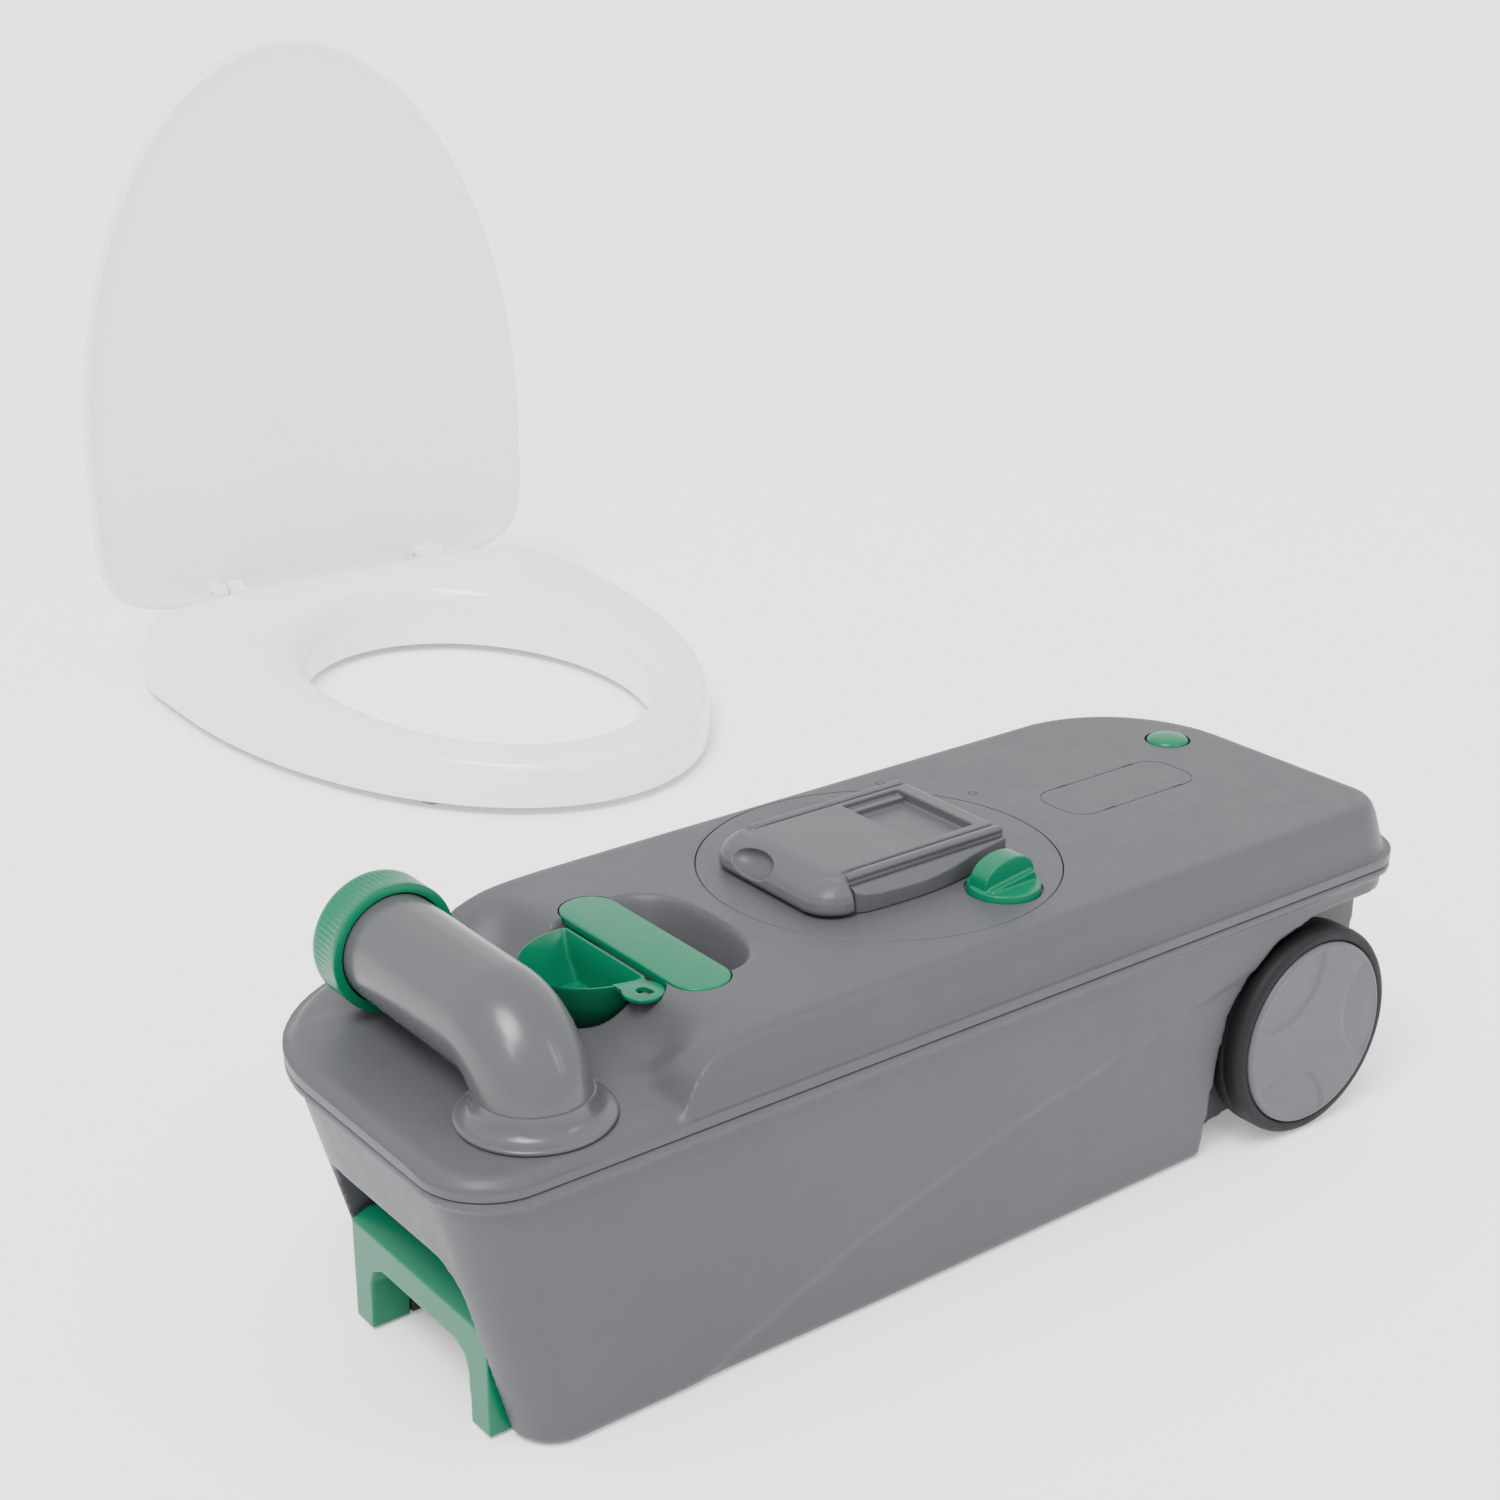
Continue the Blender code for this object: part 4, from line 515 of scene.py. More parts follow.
def lower_shell():
    """The tank body, with its wheel wells, handle niche and arm channels, and the two axle bosses."""
    levels = [wall_level(0.0, 5 * MM), wall_level(0.5 * MM, 2.6 * MM), wall_level(2 * MM, 1 * MM),
        wall_level(4.5 * MM)]
    foot, steps = 4.5 * MM, 36
    levels += [wall_level(foot + (RIM_BOTTOM - foot) * k / steps) for k in range(1, steps + 1)]
    body = loft("lower_body", levels)
    flange = cushion("lower_flange", lambda inset: tank_outline(inset, inset, inset), RIM_BOTTOM - 1 * MM,
        RIM_SEAM - SEAM, 1 * MM, 0.6 * MM, 3)
    body = join(body, flange)
    body = cut(body, *lower_tools())
    body = moulded(body, FINE_VOXEL * MM, 4, 0.3)
    holes = []
    for side in (-1, 1):
        start, end = (WHEEL_X, side * (WELL_Y - 8 * MM), WHEEL_Z), (WHEEL_X, side * (WELL_Y + 20 * MM),
            WHEEL_Z)
        holes.append(cylinder("stub_hole", STUB_BORE, start, end, 48))
    piece("tank_body_moulding", cut(body, *holes), LOOK["shell"], "tank", "grey_shell", "tank_lower_shell",
        sharp=60)
    boss = scaled([(5.3, 0), (14, 0), (12, 3), (11.4, 6), (10.8, 6.5), (5.3, 6.5)])
    for side, word in ((-1, "near"), (1, "far")):
        start, end = (WHEEL_X, side * (WELL_Y - 0.5 * MM), WHEEL_Z), (WHEEL_X, side * (WELL_Y + 6 * MM),
            WHEEL_Z)
        piece("axle_boss_" + word, turned("axle_boss", boss, start, end, 64), LOOK["shell"], "tank",
            "grey_shell")


def lower_tools():
    """What is cut from the body: wheel wells, arm channels, ramp, handle niche, strap seats and inside."""
    well = [(148, -30), (154, 30), (157, 64), (161.5, 90), (174.5, 111), (195, 127), (222, 135), (250, 137),
        (345, 137), (345, -30)]
    tools = []
    for side in (-1, 1):
        low, high = sorted((side * WELL_Y, side * (RIM_HALF + 20 * MM)))
        tools.append(extruded("wheel_well", scaled(well), (low, high), "XZ"))
        middle = HANDLE_Y + side * ARM_OFFSET
        tools.append(box("arm_channel", (NICHE_X - 10 * MM, middle - 7.5 * MM, -5 * MM),
            (CHANNEL_END, middle + 7.5 * MM, 13 * MM)))
    ramp = scaled([(150, -5), (320, -5), (320, 28), (150, 0)])
    tools.append(extruded("rear_ramp", ramp, (-WELL_Y - 5 * MM, WELL_Y + 5 * MM), "XZ"))
    outline = rounded(HANDLE_Y - NICHE_HALF, HANDLE_Y + NICHE_HALF, -60 * MM, NICHE_TOP, mm(5, 5, 26, 20), 8)
    tools.append(extruded("handle_niche", outline, (RIM_FRONT - 20 * MM, NICHE_X), "YZ"))
    for x in (-225 * MM, 60 * MM):
        tools.append(box("strap_slot", (x - 10 * MM, HANDLE_Y - 70 * MM, -5 * MM),
            (x + 10 * MM, HANDLE_Y + 70 * MM, 2.4 * MM)))
    for x0, x1, y0, y1, floor in ((-215, 286, -78, 78, 34), (-150, 288, -98, 98, 139),
        (-235, -100, -75, 80, 142)):
        room = rounded(*mm(x0, x1, y0, y1), [20 * MM] * 4, 4)
        tools.append(extruded("room", room, (floor * MM, 170 * MM)))
    tools.append(cylinder("collar_room", 36 * MM, (SPOUT_X, SPOUT_Y, 141 * MM), (SPOUT_X, SPOUT_Y, 170 * MM),
        48))
    return tools


# ---- deck fittings
def grip():
    """The green bar across the hand recess, with a stiffening rib below."""
    plate = cushion("grip", lambda inset: rounded(GRIP_X0 + inset, GRIP_X1 - inset, -GRIP_HALF + inset,
        GRIP_HALF - inset,
                                                  [15.9 * MM - inset] * 4, 16), DECK_Z - 4.5 * MM,
                                                  DECK_Z + 0.3 * MM, 0.6 * MM, 1.1 * MM)
    rib = box("grip_rib", (GRIP_X0 + 11 * MM, -54 * MM, DECK_Z - 10 * MM),
        (GRIP_X1 - 11 * MM, 54 * MM, DECK_Z - 4 * MM))
    piece("carry_grip_plate", join(plate, rib), LOOK["green"], "tank", "green_plastic", "carry_grip")


def cup_level(z, radius, back, corner):
    """A D-shaped bowl outline whose two back corners are rounded."""
    deep = radius * CUP_DEPTH / CUP_RADIUS
    points = []
    for k in range(1, 48):
        a = math.pi * k / 48
        points.append((back - corner - (deep - corner) * math.sin(a) ** 0.9, CUP_Y + radius * math.cos(a),
            z))
    for side, order in ((-1, range(7)), (1, range(6, -1, -1))):
        for k in order:
            a = math.pi / 2 * k / 6
            y = CUP_Y + side * (radius - corner * (1 - math.cos(a)))
            points.append((back - corner + corner * math.sin(a), y, z))
    return points


def measuring_cup():
    """The D-shaped cup with a thick floor, and its hanging ear with a keyhole."""
    outer = [(0, 20, 0.4), (0.8, 23, 0.2), (5, 26.5, 0), (18, 33.2, 0), (30, 36.6, 0), (31.7, 37, 0),
        (32, 36.7, 0.3)]
    inner = [(32, 35.9, -0.3), (31.6, 35.5, 0), (18, 31.4, 0), (9, 25.6, 0), (6.5, 24.4, 0), (6, 18, 8),
        (2.6, 16, 9),
             (2, 14, 10)]
    levels = [cup_level(CUP_BOTTOM + z * MM, radius * MM, CUP_X - back * MM, 3 * MM) for z, radius,
        back in outer]
    levels += [cup_level(CUP_BOTTOM + z * MM, radius * MM, CUP_X - CUP_WALL - back * MM, 2.4 * MM)
               for z, radius, back in inner]
    cup = loft("cup", levels)
    low = CUP_TOP - EAR_THICK

    def ear_outline(inset):
        turns = [2 * math.pi * k / 56 for k in range(56)]
        radius = EAR_RADIUS - inset
        return [(EAR_X + radius * math.cos(turn), EAR_Y + radius * math.sin(turn)) for turn in turns]

    ear = cushion("ear", ear_outline, low, CUP_TOP - 0.05 * MM, 0.4 * MM, 0.6 * MM, 3)
    neck = box("neck", (EAR_X - 8.5 * MM, EAR_Y + 5 * MM, low + 0.05 * MM),
        (EAR_X + 7.5 * MM, EAR_Y + 16 * MM, CUP_TOP - 0.1 * MM))
    inside = [point[:2] for point in cup_level(0, 36.2 * MM, CUP_X + 4 * MM, 2 * MM)]
    trim = extruded("ear_trim", inside, (low - 9 * MM, CUP_TOP + 9 * MM))
    low, high = low - 5 * MM, CUP_TOP + 5 * MM
    keyhole = cylinder("keyhole", 3.4 * MM, (EAR_X - 0.5 * MM, EAR_Y, low), (EAR_X - 0.5 * MM, EAR_Y, high),
        32)
    slit = box("keyhole_slit", (EAR_X - 1 * MM, EAR_Y - 5.6 * MM, low),
        (EAR_X + 3.4 * MM, EAR_Y - 1 * MM, high))
    cup = cut(join(cup, cut(join(ear, neck), trim)), keyhole, slit)
    piece("measuring_cup_moulding", cup, LOOK["green"], "cup", "green_plastic", "measuring_cup")


# a rail's outer edge in plan, in mm: (x, distance from the cover's middle)
RAIL_BOW = [(-54, 49.6), (-48, 51.8), (-40, 52.9), (-25, 53.7), (-10, 54.0), (0, 53.5), (10, 52.6),
    (19, 51.3), (28, 49.8), (36, 48.8), (44, 48.0), (54.8, 46.4)]


def mechanism():
    """The round disc in the deck, and the two bowed rails that hold the cover."""
    profile = [(0, 0), (DISC_RADIUS - 0.6 * MM, 0), (DISC_RADIUS, 0.6 * MM), (DISC_RADIUS, 4.4 * MM),
        (DISC_RADIUS - 0.5 * MM, 5 * MM), (0, 5 * MM)]
    disc = turned("disc", profile, (0, DISC_Y, DISC_BOTTOM), (0, DISC_Y, DECK_Z), 200)
    bore = cylinder("inlet", INLET_RADIUS, (INLET_X, INLET_Y, 170 * MM), (INLET_X, INLET_Y, 200 * MM), 96)
    shaft = cylinder("shaft_way", 6.3 * MM, (KNOB_X, KNOB_Y, 170 * MM), (KNOB_X, KNOB_Y, 200 * MM), 48)
    seat = cylinder("knob_seat", KNOB_RADIUS + 0.9 * MM, (KNOB_X, KNOB_Y, DECK_Z - 1.5 * MM),
        (KNOB_X, KNOB_Y, 200 * MM), 96)
    piece("mechanism_disc_plate", cut(disc, bore, shaft, seat), LOOK["shell"], "tank", "grey_cover",
        "mechanism_disc")
    for side, word in ((-1, "near"), (1, "far")):
        inner = RUNNER_HALF + 0.6 * MM
        outline = [(RAIL_BOW[0][0] * MM, COVER_Y + side * inner)]
        outline += [(x * MM, COVER_Y + side * y * MM) for x, y in RAIL_BOW]
        outline.append((RAIL_BOW[-1][0] * MM, COVER_Y + side * inner))
        rail = extruded("rail", outline, (DECK_Z + 0.1 * MM, RAIL_TOP))
        slope = [(COVER_Y + side * y * MM, RAIL_TOP + z * MM) for y,
            z in ((46, 1), (56, -6.5), (56, 9), (46, 9))]
        low, high = sorted((COVER_Y + side * (inner - 2 * MM), COVER_Y + side * (inner + 1.8 * MM)))
        groove = box("rail_groove", (-80 * MM, low, 194.2 * MM), (80 * MM, high, 197.8 * MM))
        rail = cut(rail, extruded("rail_slope", slope, (-80 * MM, 80 * MM), "YZ"), groove)
        piece("cover_rail_moulding_" + word, moulded(rail, 0.6 * MM, 3, 0.5), LOOK["cover"], "tank",
            "grey_cover", "cover_rail_" + word, sharp=0)


def cover():
    """The sliding cover: a flat runner with a wider nose, a window, a thumb hollow and two long ridges."""
    levels = []
    for z, inset, front in scaled(((191.4, 0, 6), (204, 0.4, 9), (206, 1.2, 12), (207.8, 2.6, 16),
        (208.5, 4.4, 21))):
        outline = rounded(COVER_X0 + front, COVER_X1 - inset, COVER_Y - RUNNER_HALF + inset,
            COVER_Y + RUNNER_HALF - inset, mm(17, 3, 3, 17), 8)
        levels.append([(x, y, z) for x, y in outline])
    body = loft("cover_runner", levels)
    nose = []
    for z, inset in scaled(((-0.2, 0.6), (2, 0), (6, 0.8), (9.5, 3), (12, 6.5), (14, 10.5), (15.4, 15))):
        half, low = COVER_HALF - inset * 0.6, COVER_X0 + inset
        corner = min(19 * MM, COVER_NOSE_X - low - 1.5 * MM)
        outline = rounded(low, COVER_NOSE_X, COVER_Y - half, COVER_Y + half,
            (corner, 1 * MM, 1 * MM, corner), 8)
        nose.append([(x, y, COVER_BOTTOM + z) for x, y in outline])
    tongue = box("tongue", (COVER_NOSE_X + 6 * MM, COVER_Y - RUNNER_HALF - 2 * MM, 194.7 * MM),
        (COVER_X1 - 4 * MM, COVER_Y + RUNNER_HALF + 2 * MM, 197.3 * MM))
    ridges = []
    for side in (-1, 1):
        middle = COVER_Y + side * (RUNNER_HALF - 2.4 * MM)
        start, end = (COVER_NOSE_X + 2 * MM, middle, COVER_TOP - 2.4 * MM), (COVER_X1 - 2 * MM, middle,
            COVER_TOP - 2.4 * MM)
        ridges.append(cylinder("ridge", 2.2 * MM, start, end, 24))
    body = join(body, loft("cover_nose", nose), tongue, *ridges)
    window = box("window", (4 * MM, COVER_Y - 31 * MM, COVER_TOP - 6.5 * MM),
        (44.5 * MM, COVER_Y + 33 * MM, COVER_TOP + 5 * MM))
    hollow = ellipsoid("thumb", (COVER_X0 + 1 * MM, COVER_Y + 14 * MM, COVER_BOTTOM + 10.5 * MM),
        (12 * MM, 17 * MM, 8 * MM))
    grooves = [box("tick", (-36 * MM, COVER_Y - 37 * MM, COVER_TOP - 1 * MM),
        (-34.6 * MM, COVER_Y - 31 * MM, COVER_TOP + 4 * MM))]
    for side in (-1, 1):
        low, high = sorted((COVER_Y + side * (RUNNER_HALF - 7.6 * MM),
            COVER_Y + side * (RUNNER_HALF - 5.4 * MM)))
        grooves.append(box("groove", (COVER_NOSE_X + 2 * MM, low, COVER_TOP - 2.6 * MM),
            (COVER_X1 + 4 * MM, high, COVER_TOP + 4 * MM)))
    relief = box("relief", (COVER_NOSE_X + 5.3 * MM, COVER_Y - 40 * MM, COVER_BOTTOM - 5 * MM),
        (COVER_X1 - 4.5 * MM, COVER_Y + 40 * MM, COVER_BOTTOM + 7.4 * MM))
    body = cut(body, window, hollow, relief, *grooves)
    bar = box("window_bar", (6 * MM, COVER_Y + 25 * MM, COVER_TOP - 7 * MM),
        (42 * MM, COVER_Y + 29 * MM, COVER_TOP - 2.2 * MM))
    shelf = box("window_shelf", (4 * MM, COVER_Y + 29 * MM, COVER_TOP - 7 * MM),
        (44.5 * MM, COVER_Y + 33.5 * MM, COVER_TOP - 4 * MM))
    body = join(body, bar, shelf)
    piece("sliding_cover_moulding", moulded(body, 0.6 * MM, 4, 0.4), LOOK["cover"], "cover", "grey_cover",
        "sliding_cover", sharp=0)


def knob():
    """The valve knob: a low round base with an upright fin and a ledge at its foot."""
    base = cylinder("knob_base", KNOB_RADIUS, (KNOB_X, KNOB_Y, DECK_Z - 1.2 * MM),
        (KNOB_X, KNOB_Y, DECK_Z + 3.4 * MM), 96, KNOB_RADIUS - 0.8 * MM)
    side = []
    for k in range(33):
        a = math.pi * k / 32
        side.append((-17.6 * math.cos(a) + 0.8 * math.sin(a),
            2 + (16.6 + 0.9 * -math.cos(a)) * math.sin(a) ** 0.62))
    fin = extruded("fin", [(KNOB_X + x * MM, DECK_Z + z * MM) for x, z in side],
        (KNOB_Y - 4.5 * MM, KNOB_Y + 8.5 * MM), "XZ")
    ledge = extruded("ledge", [(KNOB_X + x * MM, DECK_Z + z * MM) for x,
        z in ((-17.5, 2), (-15, 4.6), (15, 8.6), (17.5, 2))], (KNOB_Y - 8 * MM, KNOB_Y - 3 * MM), "XZ")
    body = join(base, fin, ledge)
    keep = cylinder("knob_keep", KNOB_RADIUS, (KNOB_X, KNOB_Y, DECK_Z - 3 * MM),
        (KNOB_X, KNOB_Y, DECK_Z + 30 * MM), 96)
    body = combine(body, "INTERSECT", keep)
    piece("valve_knob_moulding", moulded(body, 0.45 * MM, 7, 0.5), LOOK["green"], "knob", "green_plastic",
        "valve_knob", sharp=0)


def vent():
    """The vent button, hollow below so that it clears its spring."""
    dome = [(0, 5), (7.4, 5), (7.6, 4.8), (7.6, 0.2), (7.8, 0), (12.4, 0), (12.8, 0.5), (12.8, 10.2),
        (12.5, 11.2), (11.6, 12.2), (10, 12.9), (7, 13.5), (3.5, 13.9), (0, 14)]
    piece("vent_button_cap", turned("vent_cap", scaled(dome), (VENT_X, VENT_Y, 178 * MM),
        (VENT_X, VENT_Y, 200 * MM), 96), LOOK["green"], "vent", "green_plastic", "vent_button", sharp=50)


# ---- spout
def spout():
    """The pour-out elbow with its foot flange and the faint seam of its mould."""
    count, bend_steps = 120, 30

    def ring_at(centre, direction, radius, seam):
        side = Vector((1, 0, 0))
        up = direction.cross(side)
        points = []
        for k in range(count):
            angle = 2 * math.pi * k / count
            reach = radius + (seam if k in (count // 4, 3 * count // 4) else 0.0)
            points.append(centre + (side * math.cos(angle) + up * math.sin(angle)) * reach)
        return points

    def path(first, last, radius, seam):
        rows = [ring_at(Vector((SPOUT_X, SPOUT_Y, z)), Vector((0, 0, 1)), radius, seam) for z in (first,
            SPOUT_Z - SPOUT_BEND)]
        for k in range(1, bend_steps + 1):
            angle = math.pi / 2 * k / bend_steps
            centre = Vector((SPOUT_X, SPOUT_Y + SPOUT_BEND * (1 - math.cos(angle)),
                SPOUT_Z - SPOUT_BEND * (1 - math.sin(angle))))
            rows.append(ring_at(centre, Vector((0, math.sin(angle), math.cos(angle))), radius, seam))
        rows.append(ring_at(Vector((SPOUT_X, last, SPOUT_Z)), Vector((0, 1, 0)), radius, seam))
        return rows

    tube = loft("elbow", path(FRONT_DECK_Z + 0.6 * MM, SPOUT_END_Y, SPOUT_RADIUS, 0.22 * MM))
    neck = [(0, 0), (38.2, 0), (38.6, 0.4), (38.6, 1.6), (38.0, 2.3), (36.4, 2.7), (34.0, 3.2), (31.8, 4.4),
        (30.3, 6.6), (29.3, 9.5), (28.4, 13.5), (0, 13.5)]
    collar = turned("elbow_neck", scaled(neck), (SPOUT_X, SPOUT_Y, FRONT_DECK_Z + 0.3 * MM),
        (SPOUT_X, SPOUT_Y, 190 * MM), 120)
    spigot = cylinder("spigot", 26 * MM, (SPOUT_X, SPOUT_Y, 145 * MM),
        (SPOUT_X, SPOUT_Y, FRONT_DECK_Z + 3 * MM), 96)
    body = join(tube, collar, spigot)
    bore = loft("elbow_bore", path(135 * MM, SPOUT_END_Y + 10 * MM, SPOUT_RADIUS - 5 * MM, 0.0))
    piece("spout_elbow_moulding", cut(body, bore), LOOK["spout"], "elbow", "grey_cover", "spout_elbow",
        sharp=50)


def cap():
    """The screw cap: a ribbed cup with a rolled edge and a bar across its face."""
    depth, skin, bore_radius = CAP_Y1 - CAP_Y0, 2.5 * MM, SPOUT_RADIUS + 0.8 * MM

    def knurl(angle, radius, height):
        if radius < CAP_RADIUS - 0.6 * MM or not 3 * MM < height < depth - 5.5 * MM:
            return 0.0
        return -0.35 * MM * (0.5 - 0.5 * math.cos(angle * 72)) ** 2

    low = [(0.8, 0), (0.2, 0.4), (0, 1.2), (0, 2.8), (0, 3.2), (0, 10)]
    high = [(0, 5.8), (0, 5.2), (0, 2.6), (0.4, 1.4), (1.4, 0.4), (2.6, 0), (6, 0), (7, 1)]
    profile = [(0, depth - skin), (bore_radius, depth - skin), (bore_radius, 0.4 * MM),
        (bore_radius + 0.4 * MM, 0)]
    profile += [(CAP_RADIUS - inset * MM, z * MM) for inset, z in low]
    profile += [(CAP_RADIUS - inset * MM, depth - z * MM) for inset, z in high] + [(0, depth - 1 * MM)]
    shell = turned("cap", profile, (SPOUT_X, CAP_Y0, SPOUT_Z), (SPOUT_X, CAP_Y1, SPOUT_Z), 432, knurl)
    low_corner = (SPOUT_X - 25 * MM, CAP_Y1 - 1.6 * MM, SPOUT_Z - 3 * MM)
    bar = box("cap_bar", low_corner, (SPOUT_X + 25 * MM, CAP_Y1 - 0.2 * MM, SPOUT_Z + 3 * MM))
    piece("spout_cap_moulding", join(shell, bar), LOOK["green"], "cap", "green_plastic", "spout_cap",
        sharp=35)


# ---- transport
def handle():
    """The green pull handle, an arch with softened edges, and a rib behind its bar, coloured near-black as
    painted shade under the bar.
    """
    y0, y1 = HANDLE_Y - HANDLE_HALF, HANDLE_Y + HANDLE_HALF
    low, bar_low = 1 * MM, HANDLE_TOP - BAR_HEIGHT
    leg = [(0, low), (LEG_WIDTH, low), (LEG_WIDTH + 1 * MM, bar_low - 12 * MM),
        (LEG_WIDTH + 4 * MM, bar_low - 4 * MM),
           (LEG_WIDTH + 12 * MM, bar_low)]
    top = [(0, HANDLE_TOP - 8 * MM), (2.4 * MM, HANDLE_TOP - 2.4 * MM), (8 * MM, HANDLE_TOP)]
    arch = [(y0 + y, z) for y, z in leg] + [(y1 - y, z) for y, z in leg[::-1]]
    arch += [(y1 - y, z) for y, z in top] + [(y0 + y, z) for y, z in top[::-1]]
    body = extruded("handle", arch, (HANDLE_FRONT, HANDLE_BACK), "YZ")
    slope = [(HANDLE_FRONT - 5 * MM, HANDLE_TOP - 11 * MM), (HANDLE_BACK - 8 * MM, HANDLE_TOP + 1 * MM),
        (HANDLE_FRONT - 5 * MM, HANDLE_TOP + 9 * MM)]
    body = cut(body, extruded("handle_slope", slope, (y0 - 9 * MM, y1 + 9 * MM), "XZ"))
    piece("pull_handle_moulding", moulded(body, 0.8 * MM, 8, 0.5), LOOK["green"], "handle", "green_plastic",
        "pull_handle", sharp=0)
    # painted shade: the rib under the bar's back edge is near-black to stand for the shade there
    rib = join(box("rib", (HANDLE_BACK - 5 * MM, y0 + LEG_WIDTH - 2 * MM, bar_low - 6 * MM),
        (HANDLE_BACK - 1 * MM, y1 - LEG_WIDTH + 2 * MM, bar_low + 4 * MM)),
               box("rib_bump", (HANDLE_BACK - 5 * MM, HANDLE_Y - 6 * MM, bar_low - 9 * MM),
               (HANDLE_BACK - 1 * MM, HANDLE_Y + 6 * MM, bar_low)))
    piece("handle_rib", moulded(rib, 0.5 * MM, 3, 0.6), LOOK["dark"], "handle", "dark_plastic", sharp=0)


def wheel(side, word):
    """One wheel's tyre and six-spoked rim."""
    body = "wheel_" + word
    tread = [(56.0, 0.4), (57.5, 0), (60.5, 0.3), (62.2, 1.3), (63.3, 3.0), (63.7, 5.5), (63.7, 11.2),
        (63.3, 11.7), (63.3, 12.3), (63.7, 12.8), (63.7, 18.5), (63.3, 21.0),
             (62.2, 22.7), (60.5, 23.7), (57.5, 24.0), (56.3, 23.6), (56.0, 22.8)]
    start, end = (WHEEL_X, side * 99 * MM, WHEEL_Z), (WHEEL_X, side * 124 * MM, WHEEL_Z)
    piece("tyre_" + word, turned("tyre", scaled(tread), start, end, 160), LOOK["tyre"], body, "tyre_black",
        "wheel_tyre_" + word, sharp=60)
    rim = [(5.3, 0), (5.3, 22), (14, 22), (15, 12.6), (16, 12), (50, 12), (51, 12.6), (51.6, 22), (55.7, 22),
        (55.7, 0), (51.6, 0), (51, 7.4), (50, 8), (16, 8), (15, 7.4), (14, 0)]
    spokes = []
    for k in range(6):
        angle = math.pi / 3 * k
        spoke = box("spoke", (-49 * MM, -1.2 * MM, 0.6 * MM), (-15 * MM, 1.2 * MM, 8.5 * MM))
        spoke.transform(Matrix.Rotation(angle, 4, "Z"))
        turn = (Vector(end) - Vector(start)).to_track_quat("Z", "Y").to_matrix().to_4x4()
        spoke.transform(Matrix.Translation(start) @ turn)
        spokes.append(spoke)
    rim_mesh = turned("rim", scaled(rim), start, end, 96)
    piece("rim_" + word, join(rim_mesh, *spokes), LOOK["dark"], body, "dark_plastic", "wheel_rim_" + word)


def hub_cap(side, word):
    """A shallow disc with a rolled edge and three pressed arcs, as rings of an even count."""
    rings, count = 44, 192
    turn = Matrix.Translation((WHEEL_X, side * 121.3 * MM, WHEEL_Z)) @ (Vector((0, side,
        0))).to_track_quat("Z", "Y").to_matrix().to_4x4()

    def face(x, y):
        radius = math.hypot(x, y)
        height = 3.3 * MM
        spot = turn @ Vector((x, y, 0))
        for k in range(3):
            angle = math.radians(125 + 120 * k)
            near = math.hypot(spot.x - WHEEL_X - 60 * MM * math.cos(angle),
                spot.z - WHEEL_Z - 60 * MM * math.sin(angle))
            share = min(1.0, max(0.0, (37.5 * MM - near) / (1.8 * MM)))
            rise = min(1.0, max(0.0, (37.5 * MM - near) / (18 * MM)))
            height -= 1.3 * MM * share * share * (3 - 2 * share) * (1 - 0.75 * rise)
        lip = min(1.0, max(0.0, (radius - 51.5 * MM) / (1.5 * MM)))
        height = height + (3.35 * MM - height) * lip
        drop = max(0.0, radius - 54 * MM) / (1.4 * MM)
        return height - 1.2 * MM * (1 - math.sqrt(max(0.0, 1 - min(1.0, drop) ** 2)))

    edge = 55.4 * MM
    circle = [(math.cos(2 * math.pi * k / count), math.sin(2 * math.pi * k / count)) for k in range(count)]
    sections = [[turn @ Vector((edge * x, edge * y, 0)) for x, y in circle]]
    for ring in range(rings, 0, -1):
        radius = edge * (ring / rings)
        sections.append([turn @ Vector((radius * x, radius * y, face(radius * x, radius * y))) for x,
            y in circle])
    piece("hub_cap_" + word, loft("hub_cap", sections), LOOK["hub"], "wheel_" + word, "hub_grey",
        "wheel_cap_" + word, sharp=50)


# ---- seat
def seat_outline(count, half_width, half_length):
    """Points round a seat or lid in plan, from the middle of the back: square behind, round at the nose."""
    points = []
    for k in range(count):
        turn = 2 * math.pi * k / count
        across, along = math.sin(turn), math.cos(turn)
        if along > 0:
            reach = SEAT_WIDEST * 2 * half_length
            scale = (abs(across) ** 6 + abs(along) ** 6) ** (-1 / 6)
            points.append((half_width * across * scale, half_length - reach + reach * along * scale))
        else:
            reach = (1 - SEAT_WIDEST) * 2 * half_length
            points.append((half_width * across, half_length - SEAT_WIDEST * 2 * half_length + reach * along))
    return points


def seat_point(x, y, z):
    """From the seat's own frame to the shared one."""
    return Matrix.Rotation(SEAT_TURN, 3, "Z") @ Vector((x, y, z)) + Vector(SEAT_PLACE)


def seat_top(y):
    """The ring's crown height, lower at the nose."""
    share = (y + SEAT_HALF_LENGTH) / (2 * SEAT_HALF_LENGTH)
    return SEAT_NOSE_TOP + (SEAT_BACK_TOP - SEAT_NOSE_TOP) * share


def hinge_eye(x, radius, half_width, low, high):
    """An eye bored for the hinge pin, joined to a web whose corners are in mm from the eye's middle."""
    def bar(name, size, reach, segments):
        return cylinder(name, size, seat_point(x - reach, HINGE_Y, HINGE_Z),
            seat_point(x + reach, HINGE_Y, HINGE_Z), segments)

    web = box("web", *scaled((low, high)))
    web.transform(Matrix.Translation(seat_point(x, HINGE_Y, HINGE_Z)) @ Matrix.Rotation(SEAT_TURN, 4, "Z"))
    return cut(join(bar("eye", radius, half_width, 48), web), bar("pin_hole", 3.05 * MM, 12 * MM, 32))


